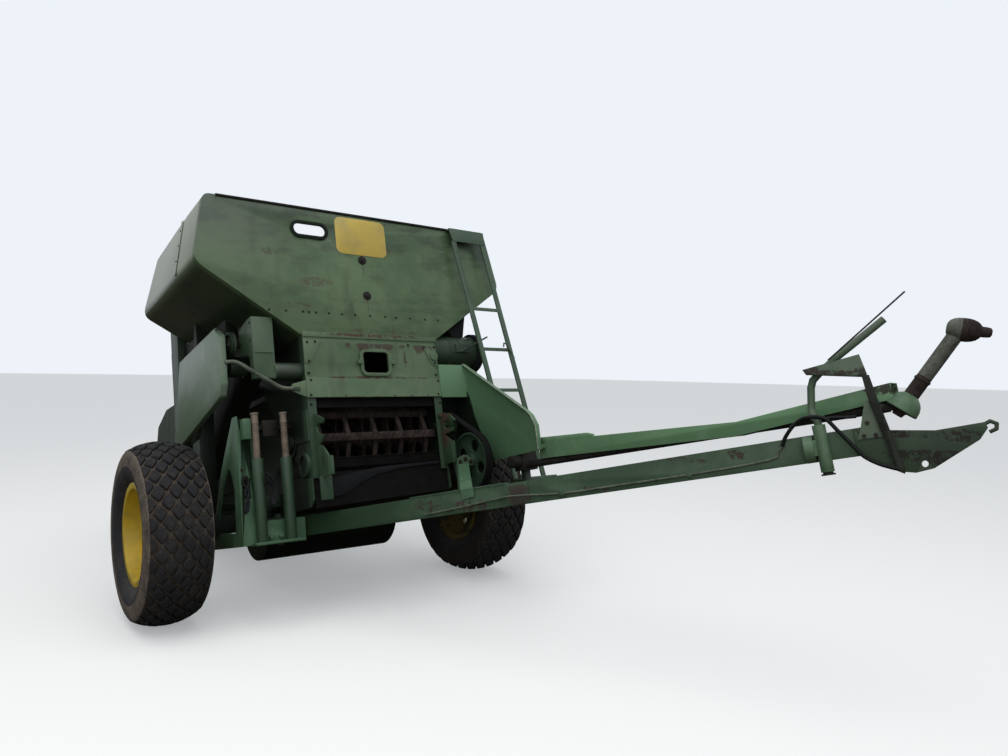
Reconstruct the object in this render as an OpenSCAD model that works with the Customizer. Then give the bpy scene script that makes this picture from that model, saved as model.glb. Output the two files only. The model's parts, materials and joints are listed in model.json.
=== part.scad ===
// Pull-type combine harvester, parked without its header on two wheels and its tail.
// Everything is drawn level, the front towards -Y and the machine's left towards +X,
// and the module parked() then tips it back to the way it stands.

/* [Stance] */
// Nose-up angle at which the machine stands
nose_up = 13; // [11:0.5:14]
// Distance of the tail's skid bar behind the axle
tail_back = 3500; // [3400:10:3550]
// Radius of the tail's skid bar
tail_r = 32; // [26:1:40]

/* [Wheels] */
// Outer diameter of the tyres
tyre_d = 1234; // [1200:2:1260]
// Width of the tyres
tyre_w = 420; // [380:5:430]
// Distance of the right tyre's middle from the body's middle
right_out = 1360; // [1340:5:1380]
// Distance of the left tyre's middle from the body's middle
left_out = 1220; // [1210:5:1240]
// Diameter of the rim's bead seat
rim_d = 630; // [600:5:650]
// Radius of the wheel spindle
spindle_r = 35; // [28:1:45]

/* [Body] */
// Width of the separator body outside its walls
body_w = 1100; // [1080:2:1120]
// Thickness of the body's sheet walls with their stiffening folds
sheet = 8; // [6:1:10]
// Distance of the front wall ahead of the axle
front_y = 730; // [720:2:740]
// Height of the body's roof under the tank
roof_z = 1850; // [1840:2:1860]
// Height of the throat opening's upper edge
throat_top = 1400; // [1390:2:1410]
// Height of the lower throat plate
lower_plate_h = 145; // [130:5:160]

/* [Threshing cylinder] */
// Radius over the rasp bars
drum_r = 280; // [260:5:285]
// Number of rasp bars
bar_count = 8; // [6:1:10]
// Number of spiders that carry the bars
spider_count = 5; // [5:1:6]
// Radius of the drum shaft
drum_shaft_r = 28; // [22:1:34]

/* [Grain tank] */
// Half width of the tank at its top edge
tank_top_x = 1170; // [1150:5:1190]
// Half width of the tank at its widest crease
tank_mid_x = 1260; // [1230:5:1270]
// Height of the tank's top edge at the front
tank_top = 2815; // [2780:5:2850]
// Height of the widest crease
tank_mid = 2330; // [2300:5:2350]
// Thickness of the tank's walls
tank_wall = 8; // [6:1:12]
// Distance of the tank's rear crease behind the axle
tank_back = 650; // [600:5:680]

/* [Ladder] */
// Distance between the middles of the ladder's rails
ladder_w = 290; // [270:5:300]
// Number of rungs
rung_count = 4; // [3:1:4]
// Height of the top rung
rung_top = 2112; // [2090:2:2130]
// Distance from rung to rung
rung_step = 344; // [330:2:350]

/* [Tongue] */
// Angle of the tongue from straight ahead, towards the machine's left
tongue_turn = 25; // [24:0.5:26]
// Rise of the tongue towards the hitch
tongue_rise = 0.9; // [0.5:0.1:1.2]
// Height of the tongue beam
beam_h = 138; // [130:1:146]
// Width of the tongue beam
beam_w = 102; // [96:1:108]
// Length of the tongue beam from its pivot to its front end
beam_len = 3930; // [3900:5:3960]
// Radius of the hole for the drawbar pin
hitch_pin_r = 16; // [13:0.5:18]
// Thickness of the tongue's walls
tongue_wall = 8; // [6:1:12]

/* [Power shaft] */
// Width of the channel that covers the drive shaft
channel_w = 90; // [80:1:100]
// Radius of the folded shaft's outer tube
pto_tube_r = 38; // [34:1:42]
// Angle at which the folded shaft stands up from the machine's level
pto_fold = 46; // [40:1:50]

/* [Lift cylinders] */
// Radius of the lift cylinders' barrels
barrel_r = 38; // [34:1:42]
// Radius of the lift cylinders' rods
rod_r = 23; // [20:1:26]
// Length of rod that stands out of each barrel
rod_out = 300; // [260:5:340]

/* [Unloading auger] */
// Radius of the unloading auger's tube
auger_r = 140; // [130:1:150]
// Length of the folded auger
auger_len = 3000; // [2800:20:3200]

/* [Hidden] */

green = [0.20, 0.36, 0.22];
pale_green = [0.33, 0.47, 0.34];
rust = [0.30, 0.20, 0.17];
yellow = [0.80, 0.66, 0.08];
black = [0.08, 0.08, 0.09];
steel = [0.45, 0.43, 0.40];

fine = 96;
medium = 48;
coarse = 24;

// Seats: pieces of one body touch, a pin runs with this radial play, a moving piece keeps air
pin_play = 0.05;
air = 6;

wheel_r = tyre_d / 2;
function wheel_out(side) = side < 0 ? right_out : left_out;
half_body = body_w / 2;
throat_seam = throat_top + lower_plate_h;
wall_in = half_body - sheet;

// Centre height of the skid bar, which touches the ground when the machine leans back
tail_z = wheel_r + (tail_back * sin(nose_up) - wheel_r + tail_r) / cos(nose_up);

// Where the foremost and rearmost points lie once parked, to centre the machine on its origin
function parked_y(y, z) = y * cos(nose_up) + (z - wheel_r) * sin(nose_up);

// Outlines: unit vectors, corners moved inwards, corners rounded by arcs
function unit(v) = v / norm(v);
function left_of(v) = [-v[1], v[0]];
function wrap(pts, i) = pts[(i + len(pts)) % len(pts)];
function mitre(u, v) = (left_of(u) + left_of(v)) / (1 + left_of(u) * left_of(v));
function inset(pts, d) = [
    for (i = [0:len(pts) - 1])
        pts[i] + d * mitre(unit(pts[i] - wrap(pts, i - 1)), unit(wrap(pts, i + 1) - pts[i]))
];
function turned(v, a) = [v[0] * cos(a) - v[1] * sin(a), v[0] * sin(a) + v[1] * cos(a)];
function corner_arc(p, u, v, r, steps) =
    let (
        turn = atan2(u[0] * v[1] - u[1] * v[0], u * v),
        s = turn < 0 ? -1 : 1,
        middle = p + s * r * mitre(u, v)
    )
    [for (k = [0:steps]) middle - s * r * turned(left_of(u), turn * k / steps)];
function rounded(pts, r, steps = 5) = [
    for (i = [0:len(pts) - 1])
        for (q = corner_arc(pts[i], unit(pts[i] - wrap(pts, i - 1)),
                            unit(wrap(pts, i + 1) - pts[i]), r, steps)) q
];

// The same with a radius for each corner, nought for a sharp one
function eased(pts, radii, steps = 4) = [
    for (i = [0:len(pts) - 1])
        for (q = radii[i] > 0 ? corner_arc(pts[i], unit(pts[i] - wrap(pts, i - 1)),
                                           unit(wrap(pts, i + 1) - pts[i]), radii[i], steps)
                              : [pts[i]]) q
];

// Drawing planes: x-z outlines run along Y, y-z outlines run along X
module along_y(y0, y1) {
    translate([0, y1, 0]) rotate([90, 0, 0]) linear_extrude(y1 - y0) children();
}
module along_x(x0, x1) {
    translate([x0, 0, 0]) rotate([90, 0, 90]) linear_extrude(x1 - x0) children();
}
module block(low, high) {
    translate(low) cube(high - low);
}
module rod_x(x0, x1, y, z, r, facets = medium) {
    translate([x0, y, z]) rotate([0, 90, 0]) cylinder(r = r, h = x1 - x0, $fn = facets);
}
module rod_between(p, q, r, facets = coarse) {
    d = q - p;
    translate(p) rotate([0, acos(d[2] / norm(d)), atan2(d[1], d[0])])
        cylinder(r = r, h = norm(d), $fn = facets);
}
module mirror_x() {
    children();
    mirror([1, 0, 0]) children();
}
// A bent pipe through the given points, with a ball at each bend
module pipe(points, r, facets = coarse) {
    for (i = [0:len(points) - 2]) rod_between(points[i], points[i + 1], r, facets);
    for (i = [1:len(points) - 2]) translate(points[i]) sphere(r = r * 1.02, $fn = facets);
}
// Level machine to the way it stands
module parked() {
    translate([-middle_x, -middle_y, wheel_r]) rotate([-nose_up, 0, 0]) translate([0, 0, -wheel_r])
        children();
}

// Wheels
hub_r = 75;
hub_len = 150;
rim_w = 330;
rim_wall = 9;
dish_out = -30;
axle_h = 130;
function axle_end(side) = wheel_out(side) - 210;

module tyre_profile() {
    seat = rim_d / 2;
    half = tyre_w / 2;
    polygon([
        [seat, -rim_w / 2 + rim_wall + 1], [seat, rim_w / 2 - rim_wall - 1],
        [seat + 33, rim_w / 2 - rim_wall - 1], [seat + 42, half - 42], [seat + 90, half - 10], [seat + 140, half],
        [wheel_r - 90, half - 4], [wheel_r - 38, half - 14], [wheel_r - 14, half - 40],
        [wheel_r, half - 120], [wheel_r, -half + 120], [wheel_r - 14, -half + 40],
        [wheel_r - 38, -half + 14], [wheel_r - 90, -half + 4], [seat + 140, -half],
        [seat + 90, -half + 10], [seat + 42, -half + 42], [seat + 33, -rim_w / 2 + rim_wall + 1]
    ]);
}
module tyre(side) {
    color(black) parked() translate([side * wheel_out(side), 0, wheel_r]) rotate([0, 90, 0])
        rotate_extrude($fn = fine) tyre_profile();
}
module rim(side) {
    seat = rim_d / 2 - 0.3;
    flange = seat + 32;
    half = rim_w / 2;
    color(yellow) parked() translate([side * wheel_out(side), 0, wheel_r])
        rotate([0, side * 90, 0]) difference() {
            union() {
                rotate_extrude($fn = fine) polygon([
                    [seat - rim_wall, -half], [flange, -half], [flange, -half + rim_wall],
                    [seat, -half + rim_wall], [seat, -60], [seat - 40, -45],
                    [seat - 40, 45], [seat, 60], [seat, half - rim_wall],
                    [flange, half - rim_wall], [flange, half], [seat - rim_wall, half],
                    [seat - rim_wall, 66], [seat - 49, 50], [seat - 49, dish_out + 5],
                    [180, dish_out + 45], [hub_r - 5, dish_out + 45], [hub_r - 5, dish_out + 30],
                    [175, dish_out + 30], [seat - 49, dish_out - 10], [seat - 49, -50],
                    [seat - rim_wall, -66]
                ]);
                translate([0, 0, dish_out - 70]) cylinder(r = hub_r, h = hub_len, $fn = medium);
                for (k = [0:7]) rotate([0, 0, 45 * k]) translate([130, 0, dish_out + 40])
                    cylinder(r = 15, h = 24, $fn = 6);
            }
            translate([0, 0, dish_out - 71])
                cylinder(r = spindle_r + pin_play, h = hub_len - 24, $fn = medium);
            for (k = [0:3]) rotate([0, 0, 90 * k + 22.5]) translate([205, 0, -70])
                cylinder(r = 24, h = 160, $fn = coarse);
        }
}

// Axle beam with a spindle at each end
half_axle = axle_h / 2;
module axle_bar() {
    block([-axle_end(-1), -half_axle, wheel_r - half_axle],
          [axle_end(1), half_axle, wheel_r + half_axle]);
}
module axle() {
    color(green) parked() {
        axle_bar();
        for (side = [-1, 1]) mirror([side < 0 ? 1 : 0, 0, 0]) {
            rod_x(axle_end(side), axle_end(side) + 70, 0, wheel_r, half_axle - 12, medium);
            rod_x(axle_end(side) + 60, wheel_out(side) + dish_out + 50, 0, wheel_r, spindle_r, medium);
            block([axle_end(side), -85, wheel_r - 85], [axle_end(side) + 14, 85, wheel_r + 85]);
        }
    }
}

// Main frame: rails on the axle, the tongue's pivot jaw, the drive arm and the tail's skid bar
rail_z = 700;
rail_h = 90;
rail_w = 60;
arm_x = 560;
arm_z = 540;
arm_end = -1250;
jaw_r = 25;
jaw_z = [446, 620];

side_outline = [
    [-front_y, 760], [-250, 640], [1100, 640], [2600, 745], [tail_back, tail_z + tail_r + 2],
    [tail_back + 90, 1180], [3260, 1830], [2900, 1960], [tank_back + 60, 1960],
    [tank_back + 60, roof_z], [-front_y, roof_z]
];
tail_top = 1180;
door_top = 1497;
// The tail's sloping back, from its corner at tail_top up to the hood
function tail_slope(z) = tail_back + 90 - (z - tail_top) * (tail_back + 90 - 3260) / (1830 - tail_top);

module main_frame() {
    color(green) parked() {
        mirror_x() {
            block([half_body, -150, rail_z], [half_body + rail_w, 2500, rail_z + rail_h]);
            block([half_body, -half_axle, wheel_r + half_axle], [half_body + rail_w, half_axle, rail_z]);
            block([half_body, tail_back - 50, tail_z], [half_body + 12, tail_back + 30, tail_z + 170]);
        }
        rod_x(-half_body - 12, half_body + 12, tail_back, tail_z, tail_r, medium);
        // Jaw and pin of the tongue
        block([-700, -262, jaw_z[0]], [-684, -half_axle, jaw_z[1]]);
        for (z = [jaw_z[0], jaw_z[1] - 14])
            block([-684, -262, z], [-500, z > 500 ? -half_axle : -half_axle - 30, z + 14]);
        translate([pivot[0], pivot[1], jaw_z[0] - 20])
            cylinder(r = jaw_r, h = jaw_z[1] - jaw_z[0] + 50, $fn = medium);
        // Arm that carries the front drives, and the strut that holds the tongue to it
        block([arm_x, arm_end, arm_z], [arm_x + 60, -half_axle, arm_z + 60]);
        block([arm_x, arm_end, arm_z], [930, arm_end + 60, arm_z + 60]);
        block([880, arm_end, arm_z + 60], [930, arm_end + 50, 745]);
        block([900, arm_end + 50, 668], [1060, -1010, 680]);
        difference() {
            rod_between([arm_x + 10, -640, arm_z + 30], tongue_at(0, -1010, 0), 20);
            on_tongue() block([-200, -2000, -200], [beam_w / 2, 0, 200]);
        }
    }
}

// Side walls with their folds, front flanges and bearing housings
module side_wall(side) {
    color(green) parked() mirror([side < 0 ? 1 : 0, 0, 0]) difference() {
        union() {
            along_x(wall_in, half_body) polygon(side_outline);
            block([486, -front_y - 8, 845], [half_body, -front_y, throat_top]);
            along_x(half_body, half_body + 10)
                polygon([[-223, 626], [-160, 626], [-160, 856], [-front_y, 850], [-front_y - 8, 700], [-690, 655]]);
            rod_x(half_body - 1, half_body + 34, drum_y, drum_z, 70);
            rod_x(half_body - 1, half_body + 12, drum_y, drum_z, 105);
            for (z = [900, 1520]) block([half_body, 20, z], [half_body + 14, 3120, z + 40]);
            for (y = [1250, 2200, 3080]) block([half_body, y, 940], [half_body + 10, y + 40, 1520]);
            if (side < 0) {
                along_x(half_body, half_body + 12)
                    polygon([[-front_y, 1103], [-376, 1108], [-417, 1328], [-front_y, 1319]]);
                rod_x(half_body - 1, half_body + 24, -633, 948, 87);
            } else {
                rod_x(half_body - 1, half_body + 30, pulley_y, pulley_z, 45);
                along_x(half_body, half_body + 46)
                    polygon(rounded([[180, 960], [1180, 960], [1180, 1480], [180, 1480]], 60));
            }
        }
        block([-2000, -half_axle, 0], [2000, half_axle, wheel_r + half_axle]);
        rod_x(wall_in - 80, half_body + 40, drum_y, drum_z, drum_shaft_r + pin_play);
        if (side > 0) rod_x(wall_in - 80, half_body + 40, pulley_y, pulley_z, pulley_shaft_r + pin_play);
        else rod_x(half_body + 8, half_body + 40, -633, 948, 62);
    }
}

module strip(shell, low, high) {
    intersection() {
        along_x(-wall_in, wall_in) difference() {
            polygon(side_outline);
            polygon(inset(side_outline, shell));
        }
        block(low, high);
    }
}
door_pin_r = 5;
door_hinge = [tail_slope(door_top) + 12, door_top + 5];
module hood() {
    color(green) parked() {
        strip(sheet, [-2000, -front_y + 200, 1500], [2000, 5000, 3000]);
        block([-360, 1150, 1960], [360, 1850, 1974]);
        for (x = [-300, 0, 300]) block([x - 20, 2000, 1960], [x + 20, 2860, 1972]);
        rod_x(-310, 310, door_hinge[0], door_hinge[1], door_pin_r);
        mirror_x() block([300, door_hinge[0] - 16, door_hinge[1] - 8], [312, door_hinge[0] + 8, door_hinge[1] + 34]);
    }
}
module underpan() {
    color(green) parked() difference() {
        strip(sheet, [-2000, -400, 0], [2000, 3480, tail_top]);
        axle_bar();
    }
}
module tail_curtain() {
    color(black) parked() strip(sheet, [-2000, 3486, tail_z + tail_r + 6], [2000, 5000, tail_top]);
}
module rear_door() {
    color(green) parked() difference() {
        union() {
            intersection() {
                strip(sheet, [-2000, 3200, tail_top + air], [2000, 5000, door_top - 3]);
                block([-wall_in + air, 0, 0], [wall_in - air, 5000, 3000]);
            }
            for (x = [-280, 200]) {
                rod_x(x, x + 80, door_hinge[0], door_hinge[1], 12);
                block([x, tail_slope(1470) - 3, 1462], [x + 80, tail_slope(1470) + 6, 1500]);
            }
            rod_x(-70, 70, tail_slope(1250) + 30, 1250, 9);
            for (x = [-70, 58]) block([x, tail_slope(1250) - 6, 1243], [x + 12, tail_slope(1250) + 30, 1257]);
        }
        rod_x(-320, 320, door_hinge[0], door_hinge[1], door_pin_r + pin_play);
    }
}
module separator_mass() {
    color(rust) parked() block([-wall_in, 60, 900], [wall_in, 2900, 1500]);
}

// Cleaning fan housing below the body, with an air inlet in each end
fan_y = 420;
fan_z = 620;
fan_r = 300;
module fan_housing() {
    color(green) parked() difference() {
        rod_x(-half_body, half_body, fan_y, fan_z, fan_r, fine);
        rod_x(-wall_in, wall_in, fan_y, fan_z, fan_r - sheet, fine);
        rod_x(-half_body - 1, half_body + 1, fan_y, fan_z, 140, medium);
        block([-1000, -1000, 640], [1000, 2000, 3000]);
    }
}

// Throat: two bolted plates over the opening, corner plates and an inspection window
win = [7, throat_seam + 115];
win_w = 208;
win_h = 156;
bead = 25;
module rounded_plate(w, h, r) {
    polygon(rounded([[-w / 2, -h / 2], [w / 2, -h / 2], [w / 2, h / 2], [-w / 2, h / 2]], r));
}
corner_plate = [[417, 1811], [491, 1668], [516, 1645], [half_body, 1645], [half_body, 1815]];
module front_plate(y0, y1, pts) {
    along_y(-front_y - y1, -front_y - y0) polygon(pts);
}
module throat_plates() {
    color(pale_green) parked() {
        difference() {
            block([-half_body, -front_y - 8, throat_seam], [half_body, -front_y, roof_z]);
            along_y(-front_y - 50, -front_y + 50) translate(win) rounded_plate(win_w, win_h, 30);
        }
        block([-half_body, -front_y - 16, throat_top], [half_body, -front_y, throat_seam]);
        block([-half_body, -front_y - 26, throat_top], [half_body, -front_y - 16, throat_top + 5]);
        // Folded flange under the tank
        block([-half_body, -front_y - 16, 1838], [half_body, -front_y, 1850]);
        block([-half_body, -front_y - 16, 1850], [half_body, -front_y - 12, 1874]);
        mirror_x() front_plate(8, 14, corner_plate);
        // Plug in the left corner plate
        translate([518, -front_y - 13, 1722]) rotate([90, 0, 0]) cylinder(r = 34, h = 13, $fn = medium);
        // Wing that tapers out to the right
        mirror([1, 0, 0])
            front_plate(2, 10, [[half_body, 1405], [656, 1448], [652, 1497], [half_body, 1525]]);
    }
}
module throat_window() {
    color(steel) parked() difference() {
        union() {
            along_y(-front_y - 24, -front_y - 8) translate(win)
                rounded_plate(win_w + 2 * bead, win_h + 2 * bead, 50);
            for (x = [-1, 1]) translate([win[0] + x * (win_w / 2 + bead + 8), -front_y - 22, win[1]])
                cube([26, 28, 30], center = true);
        }
        along_y(-front_y - 50, -front_y + 50) translate(win) rounded_plate(win_w, win_h, 30);
    }
}
// Cross pieces that close the opening above and below the cylinder
module stone_trap() {
    color(rust) parked() {
        block([-wall_in, -front_y + 10, 1335], [wall_in, -front_y + 18, throat_top]);
        block([-wall_in, -front_y, 1330], [wall_in, -front_y + 18, 1337]);
        block([-wall_in, -front_y + 6, 915], [wall_in, -front_y + 14, 975]);
        block([-wall_in, -front_y, 971], [wall_in, -front_y + 50, 979]);
        block([-wall_in, -front_y + 6, 907], [wall_in, -front_y + 70, 915]);
        along_y(-front_y + 6, -front_y + 14)
            polygon([[-wall_in, 640], [wall_in, 680], [wall_in, 880], [-wall_in, 880]]);
        along_y(-front_y - 12, -front_y + 6)
            polygon([[-wall_in, 640], [wall_in, 680], [wall_in, 688], [-wall_in, 648]]);
    }
}
module throat_flap() {
    color(black) parked() along_y(-front_y - 2, -front_y + 6) polygon([
        [-414, 835], [-418, 706], [-343, 713], [-258, 752], [-173, 797], [-60, 838], [118, 869],
        [300, 880], [478, 885], [481, 906], [122, 898], [-60, 888], [-205, 870]
    ]);
}
// Brackets that stick out at both sides of the opening, where a header hangs
module feeder_hooks() {
    color(green) parked() {
        along_x(-514, -500) polygon([
            [-front_y - 8, 1285], [-810, 1262], [-885, 1226], [-868, 1200], [-800, 1212], [-766, 1192],
            [-766, 1160], [-800, 1138], [-880, 1120], [-850, 1085], [-790, 1068], [-850, 1040],
            [-917, 977], [-907, 842], [-front_y - 8, 842]
        ]);
        along_x(518, 532) polygon([
            [-front_y - 8, 1275], [-867, 1244], [-936, 1186], [-905, 1172], [-840, 1200], [-790, 1196],
            [-774, 1165], [-800, 1144], [-925, 1134], [-900, 1108], [-770, 1100], [-855, 1044],
            [-863, 875], [-front_y - 8, 875]
        ]);
        for (x = [-500, 500]) block([x, -front_y - 40, 1240], [x + 18, -front_y - 8, 1262]);
        // Folded edges of the lower brackets
        block([-500, -917, 850], [-476, -909, 975]);
        block([-540, -820, 690], [-452, -812, 850]);
        block([-514, -820, 838], [-500, -front_y - 8, 850]);
        block([532, -863, 880], [552, -855, 1040]);
    }
}

// Threshing cylinder: spiders on a shaft carry bars with slanting ribs
drum_y = -front_y + drum_r + 40;
drum_z = 1125;
drum_half = wall_in - 50;
spider_step = 218;
rim_drop = 22;
rib_count = 22;
module rasp_bar() {
    translate([-drum_half, -drum_r + 12, -30]) cube([2 * drum_half, 34, 60]);
    difference() {
        translate([-drum_half, -drum_r, -26]) cube([2 * drum_half, 13, 52]);
        for (i = [0:rib_count]) translate([-drum_half + i * 2 * drum_half / rib_count, -drum_r - 1, 0])
            rotate([0, 32, 0]) translate([-7, 0, -50]) cube([14, 7, 100]);
    }
}
module threshing_cylinder() {
    color(rust) parked() translate([0, drum_y, drum_z]) {
        rod_x(-half_body - 60, half_body + 100, 0, 0, drum_shaft_r);
        for (k = [0:spider_count - 1])
            translate([(k - (spider_count - 1) / 2) * spider_step, 0, 0]) rotate([0, 90, 0]) {
                difference() {
                    translate([0, 0, -16]) cylinder(r = drum_r - rim_drop, h = 32, $fn = bar_count);
                    translate([0, 0, -17]) cylinder(r = drum_r - rim_drop - 14, h = 34, $fn = bar_count);
                }
                difference() {
                    union() {
                        translate([0, 0, -5]) cylinder(r = drum_r - rim_drop - 4, h = 10, $fn = bar_count);
                        translate([0, 0, -30]) cylinder(r = drum_shaft_r + 22, h = 60, $fn = medium);
                    }
                    translate([0, 0, -31]) cylinder(r = drum_shaft_r - 1, h = 62, $fn = medium);
                    for (a = [0:3]) rotate([0, 0, 90 * a + 45]) translate([150, 0, -20])
                        cylinder(r = 62, h = 40, $fn = medium);
                }
            }
        for (k = [0:bar_count - 1]) rotate([360 / bar_count * k, 0, 0]) rasp_bar();
        // Drive pulley on the left end
        rotate([0, 90, 0]) translate([0, 0, half_body + 42]) difference() {
            cylinder(r = 112, h = 46, $fn = fine);
            for (z = [-1, 31]) translate([0, 0, z]) difference() {
                cylinder(r = 96, h = 16, $fn = fine);
                translate([0, 0, -1]) cylinder(r = 45, h = 18, $fn = medium);
            }
        }
    }
}
module concave() {
    color(rust) parked() difference() {
        rod_x(-wall_in, wall_in, drum_y, drum_z, drum_r + 60, fine);
        rod_x(-wall_in - 1, wall_in + 1, drum_y, drum_z, drum_r + 30, fine);
        block([-1000, -2000, drum_z - 150], [1000, 2000, 3000]);
        block([-1000, -2000, 0], [1000, drum_y - 150, 3000]);
    }
}

// Front frame on the right: a gusset with a long hole, a post, a cross beam and a shelf
gusset_x = 985;
post_in = 870;
post_y = 545;
shelf_z = 462;
module front_frame() {
    color(pale_green) parked() mirror([1, 0, 0]) difference() {
        union() {
            difference() {
                along_x(gusset_x - 12, gusset_x) polygon([
                    [-post_y, 460], [84, 460], [68, 589], [-188, 992], [-470, 1313], [-post_y, 1313]
                ]);
                along_x(gusset_x - 50, gusset_x + 50) polygon(rounded([
                    [-420, 540], [-16, 560], [-184, 853], [-320, 985], [-380, 965], [-438, 829]
                ], 30));
            }
            block([post_in, -post_y, 460], [gusset_x - 12, -post_y + 12, 1290]);
            block([post_in, -post_y + 12, 460], [post_in + 12, -430, 1290]);
            block([904, -600, 1150], [955, -post_y, 1288]);
            block([half_body, -post_y, 440], [post_in, -post_y + 75, 600]);
            block([600, -640, shelf_z - 18], [930, -post_y, shelf_z]);
            block([post_in, -post_y, 448], [gusset_x, 84, 460]);
            for (x = [730, 800]) translate([x, -post_y, 490]) rotate([90, 0, 0])
                cylinder(r = 13, h = 26, $fn = coarse);
        }
        block([912, -post_y - 10, 755], [962, -post_y + 40, 889]);
        mirror([1, 0, 0]) axle_bar();
    }
}
barrel_x = [870, 670];
barrel_y = -post_y - barrel_r - 1;
barrel_top = 1015;
module lift_barrels() {
    color(green) parked() for (x = barrel_x) {
        difference() {
            translate([-x, barrel_y, shelf_z]) cylinder(r = barrel_r, h = barrel_top - shelf_z, $fn = medium);
            translate([-x, barrel_y, shelf_z + 30]) cylinder(r = rod_r + pin_play, h = 900, $fn = medium);
        }
        block([-x - 20, -post_y - 16, shelf_z], [-x + 20, -post_y, shelf_z + 70]);
    }
}
module lift_rod(x) {
    color(rust) parked() translate([-x, barrel_y, 0]) {
        translate([0, 0, barrel_top - 220]) cylinder(r = rod_r, h = 220 + rod_out, $fn = medium);
        translate([0, 0, barrel_top + rod_out]) cylinder(r = rod_r + 5, h = 12, $fn = medium);
        translate([0, 0, barrel_top + rod_out - 60]) cylinder(r = rod_r + 3, h = 8, $fn = medium);
    }
}
shaft_y = -450;
shaft_z = 1235;
module jackshaft() {
    color(green) parked() mirror([1, 0, 0]) {
        rod_x(half_body + 12, post_in, shaft_y, shaft_z, 22);
        rod_x(705, 765, shaft_y, shaft_z, 52);
        block([682, -510, 1175], [790, -496, 1288]);
        for (x = [715, 757]) block([x - 8, -496, 1215], [x + 8, shaft_y - 30, 1255]);
        rod_x(600, 640, shaft_y, shaft_z, 56);
        rod_x(612, 628, shaft_y, shaft_z, 64);
    }
}

// Grain tank: where a front outline and a side outline cross, hollow and open at the top
floor_x = half_body;
tank_front = eased([
    [-floor_x, roof_z], [floor_x, roof_z], [tank_mid_x, tank_mid], [tank_top_x, tank_top],
    [-tank_top_x, tank_top], [-tank_mid_x, tank_mid]
], [0, 0, 95, 45, 45, 95]);
tank_drop = 75;
tank_side = eased([
    [-front_y, roof_z], [tank_back - 70, roof_z], [tank_back, tank_mid], [tank_back - 210, tank_top - tank_drop],
    [-front_y, tank_top]
], [0, 0, 80, 0, 0]);
// Height of the tank's underside at a distance from the middle
function under(x) = roof_z + (x - floor_x) * (tank_mid - roof_z) / (tank_mid_x - floor_x);
module tank_form(front, side) {
    intersection() {
        along_y(-2000, 2000) polygon(front);
        along_x(-2000, 2000) polygon(side);
    }
}
// The mouth between the rolled upper edges, and the side outline carried on upwards
mouth_x = tank_top_x - 55;
tank_mouth = [[-mouth_x, tank_mid], [mouth_x, tank_mid], [mouth_x, tank_top + 200], [-mouth_x, tank_top + 200]];
rear_lean = 210 / (tank_top - tank_drop - tank_mid);
tank_side_tall = eased([
    [-front_y, roof_z], [tank_back - 70, roof_z], [tank_back, tank_mid],
    [tank_back - (tank_top + 200 - tank_mid) * rear_lean, tank_top + 200], [-front_y, tank_top + 200]
], [0, 0, 80, 0, 0]);
oval_x = -430;
oval_z = tank_top - 170;
oval_w = 290;
oval_h = 130;
oval_wall = 24;
module tank_oval(grow) {
    translate([oval_x, oval_z])
        rounded_plate(oval_w + 2 * grow, oval_h + 2 * grow, oval_h / 2 + grow - 1);
}
module grain_tank() {
    color(green) parked() difference() {
        tank_form(tank_front, tank_side);
        tank_form(inset(tank_front, tank_wall), inset(tank_side_tall, tank_wall));
        tank_form(tank_mouth, inset(tank_side_tall, tank_wall));
        along_y(-front_y - 50, -front_y + 50) tank_oval(-oval_wall);
    }
}
module tank_window() {
    color(black) parked() difference() {
        along_y(-front_y - 12, -front_y) tank_oval(0);
        along_y(-front_y - 50, -front_y + 50) tank_oval(-oval_wall);
    }
}
module maker_plate() {
    color(yellow) parked() along_y(-front_y - 3, -front_y) translate([-15, tank_top - 175])
        rounded_plate(420, 290, 50);
}
// Frame and posts under the tank's sloping sides
bin_x = 900;
bin_z = 1972;
module tank_posts() {
    color(green) parked() difference() {
        mirror_x() {
            block([bin_x - 6, -200, bin_z], [bin_x, 640, 2300]);
            block([bin_x - 80, -200, bin_z], [bin_x, -194, 2300]);
            block([bin_x, 180, rail_z + 20], [945, 250, 2300]);
            block([half_body + rail_w, 190, rail_z + 20], [bin_x, 240, rail_z + 70]);
        }
        tank_form(tank_front, tank_side);
    }
    color(green) parked() difference() {
        block([-995, 180, rail_z + 20], [-945, 250, 2300]);
        tank_form(tank_front, tank_side);
    }
}

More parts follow.
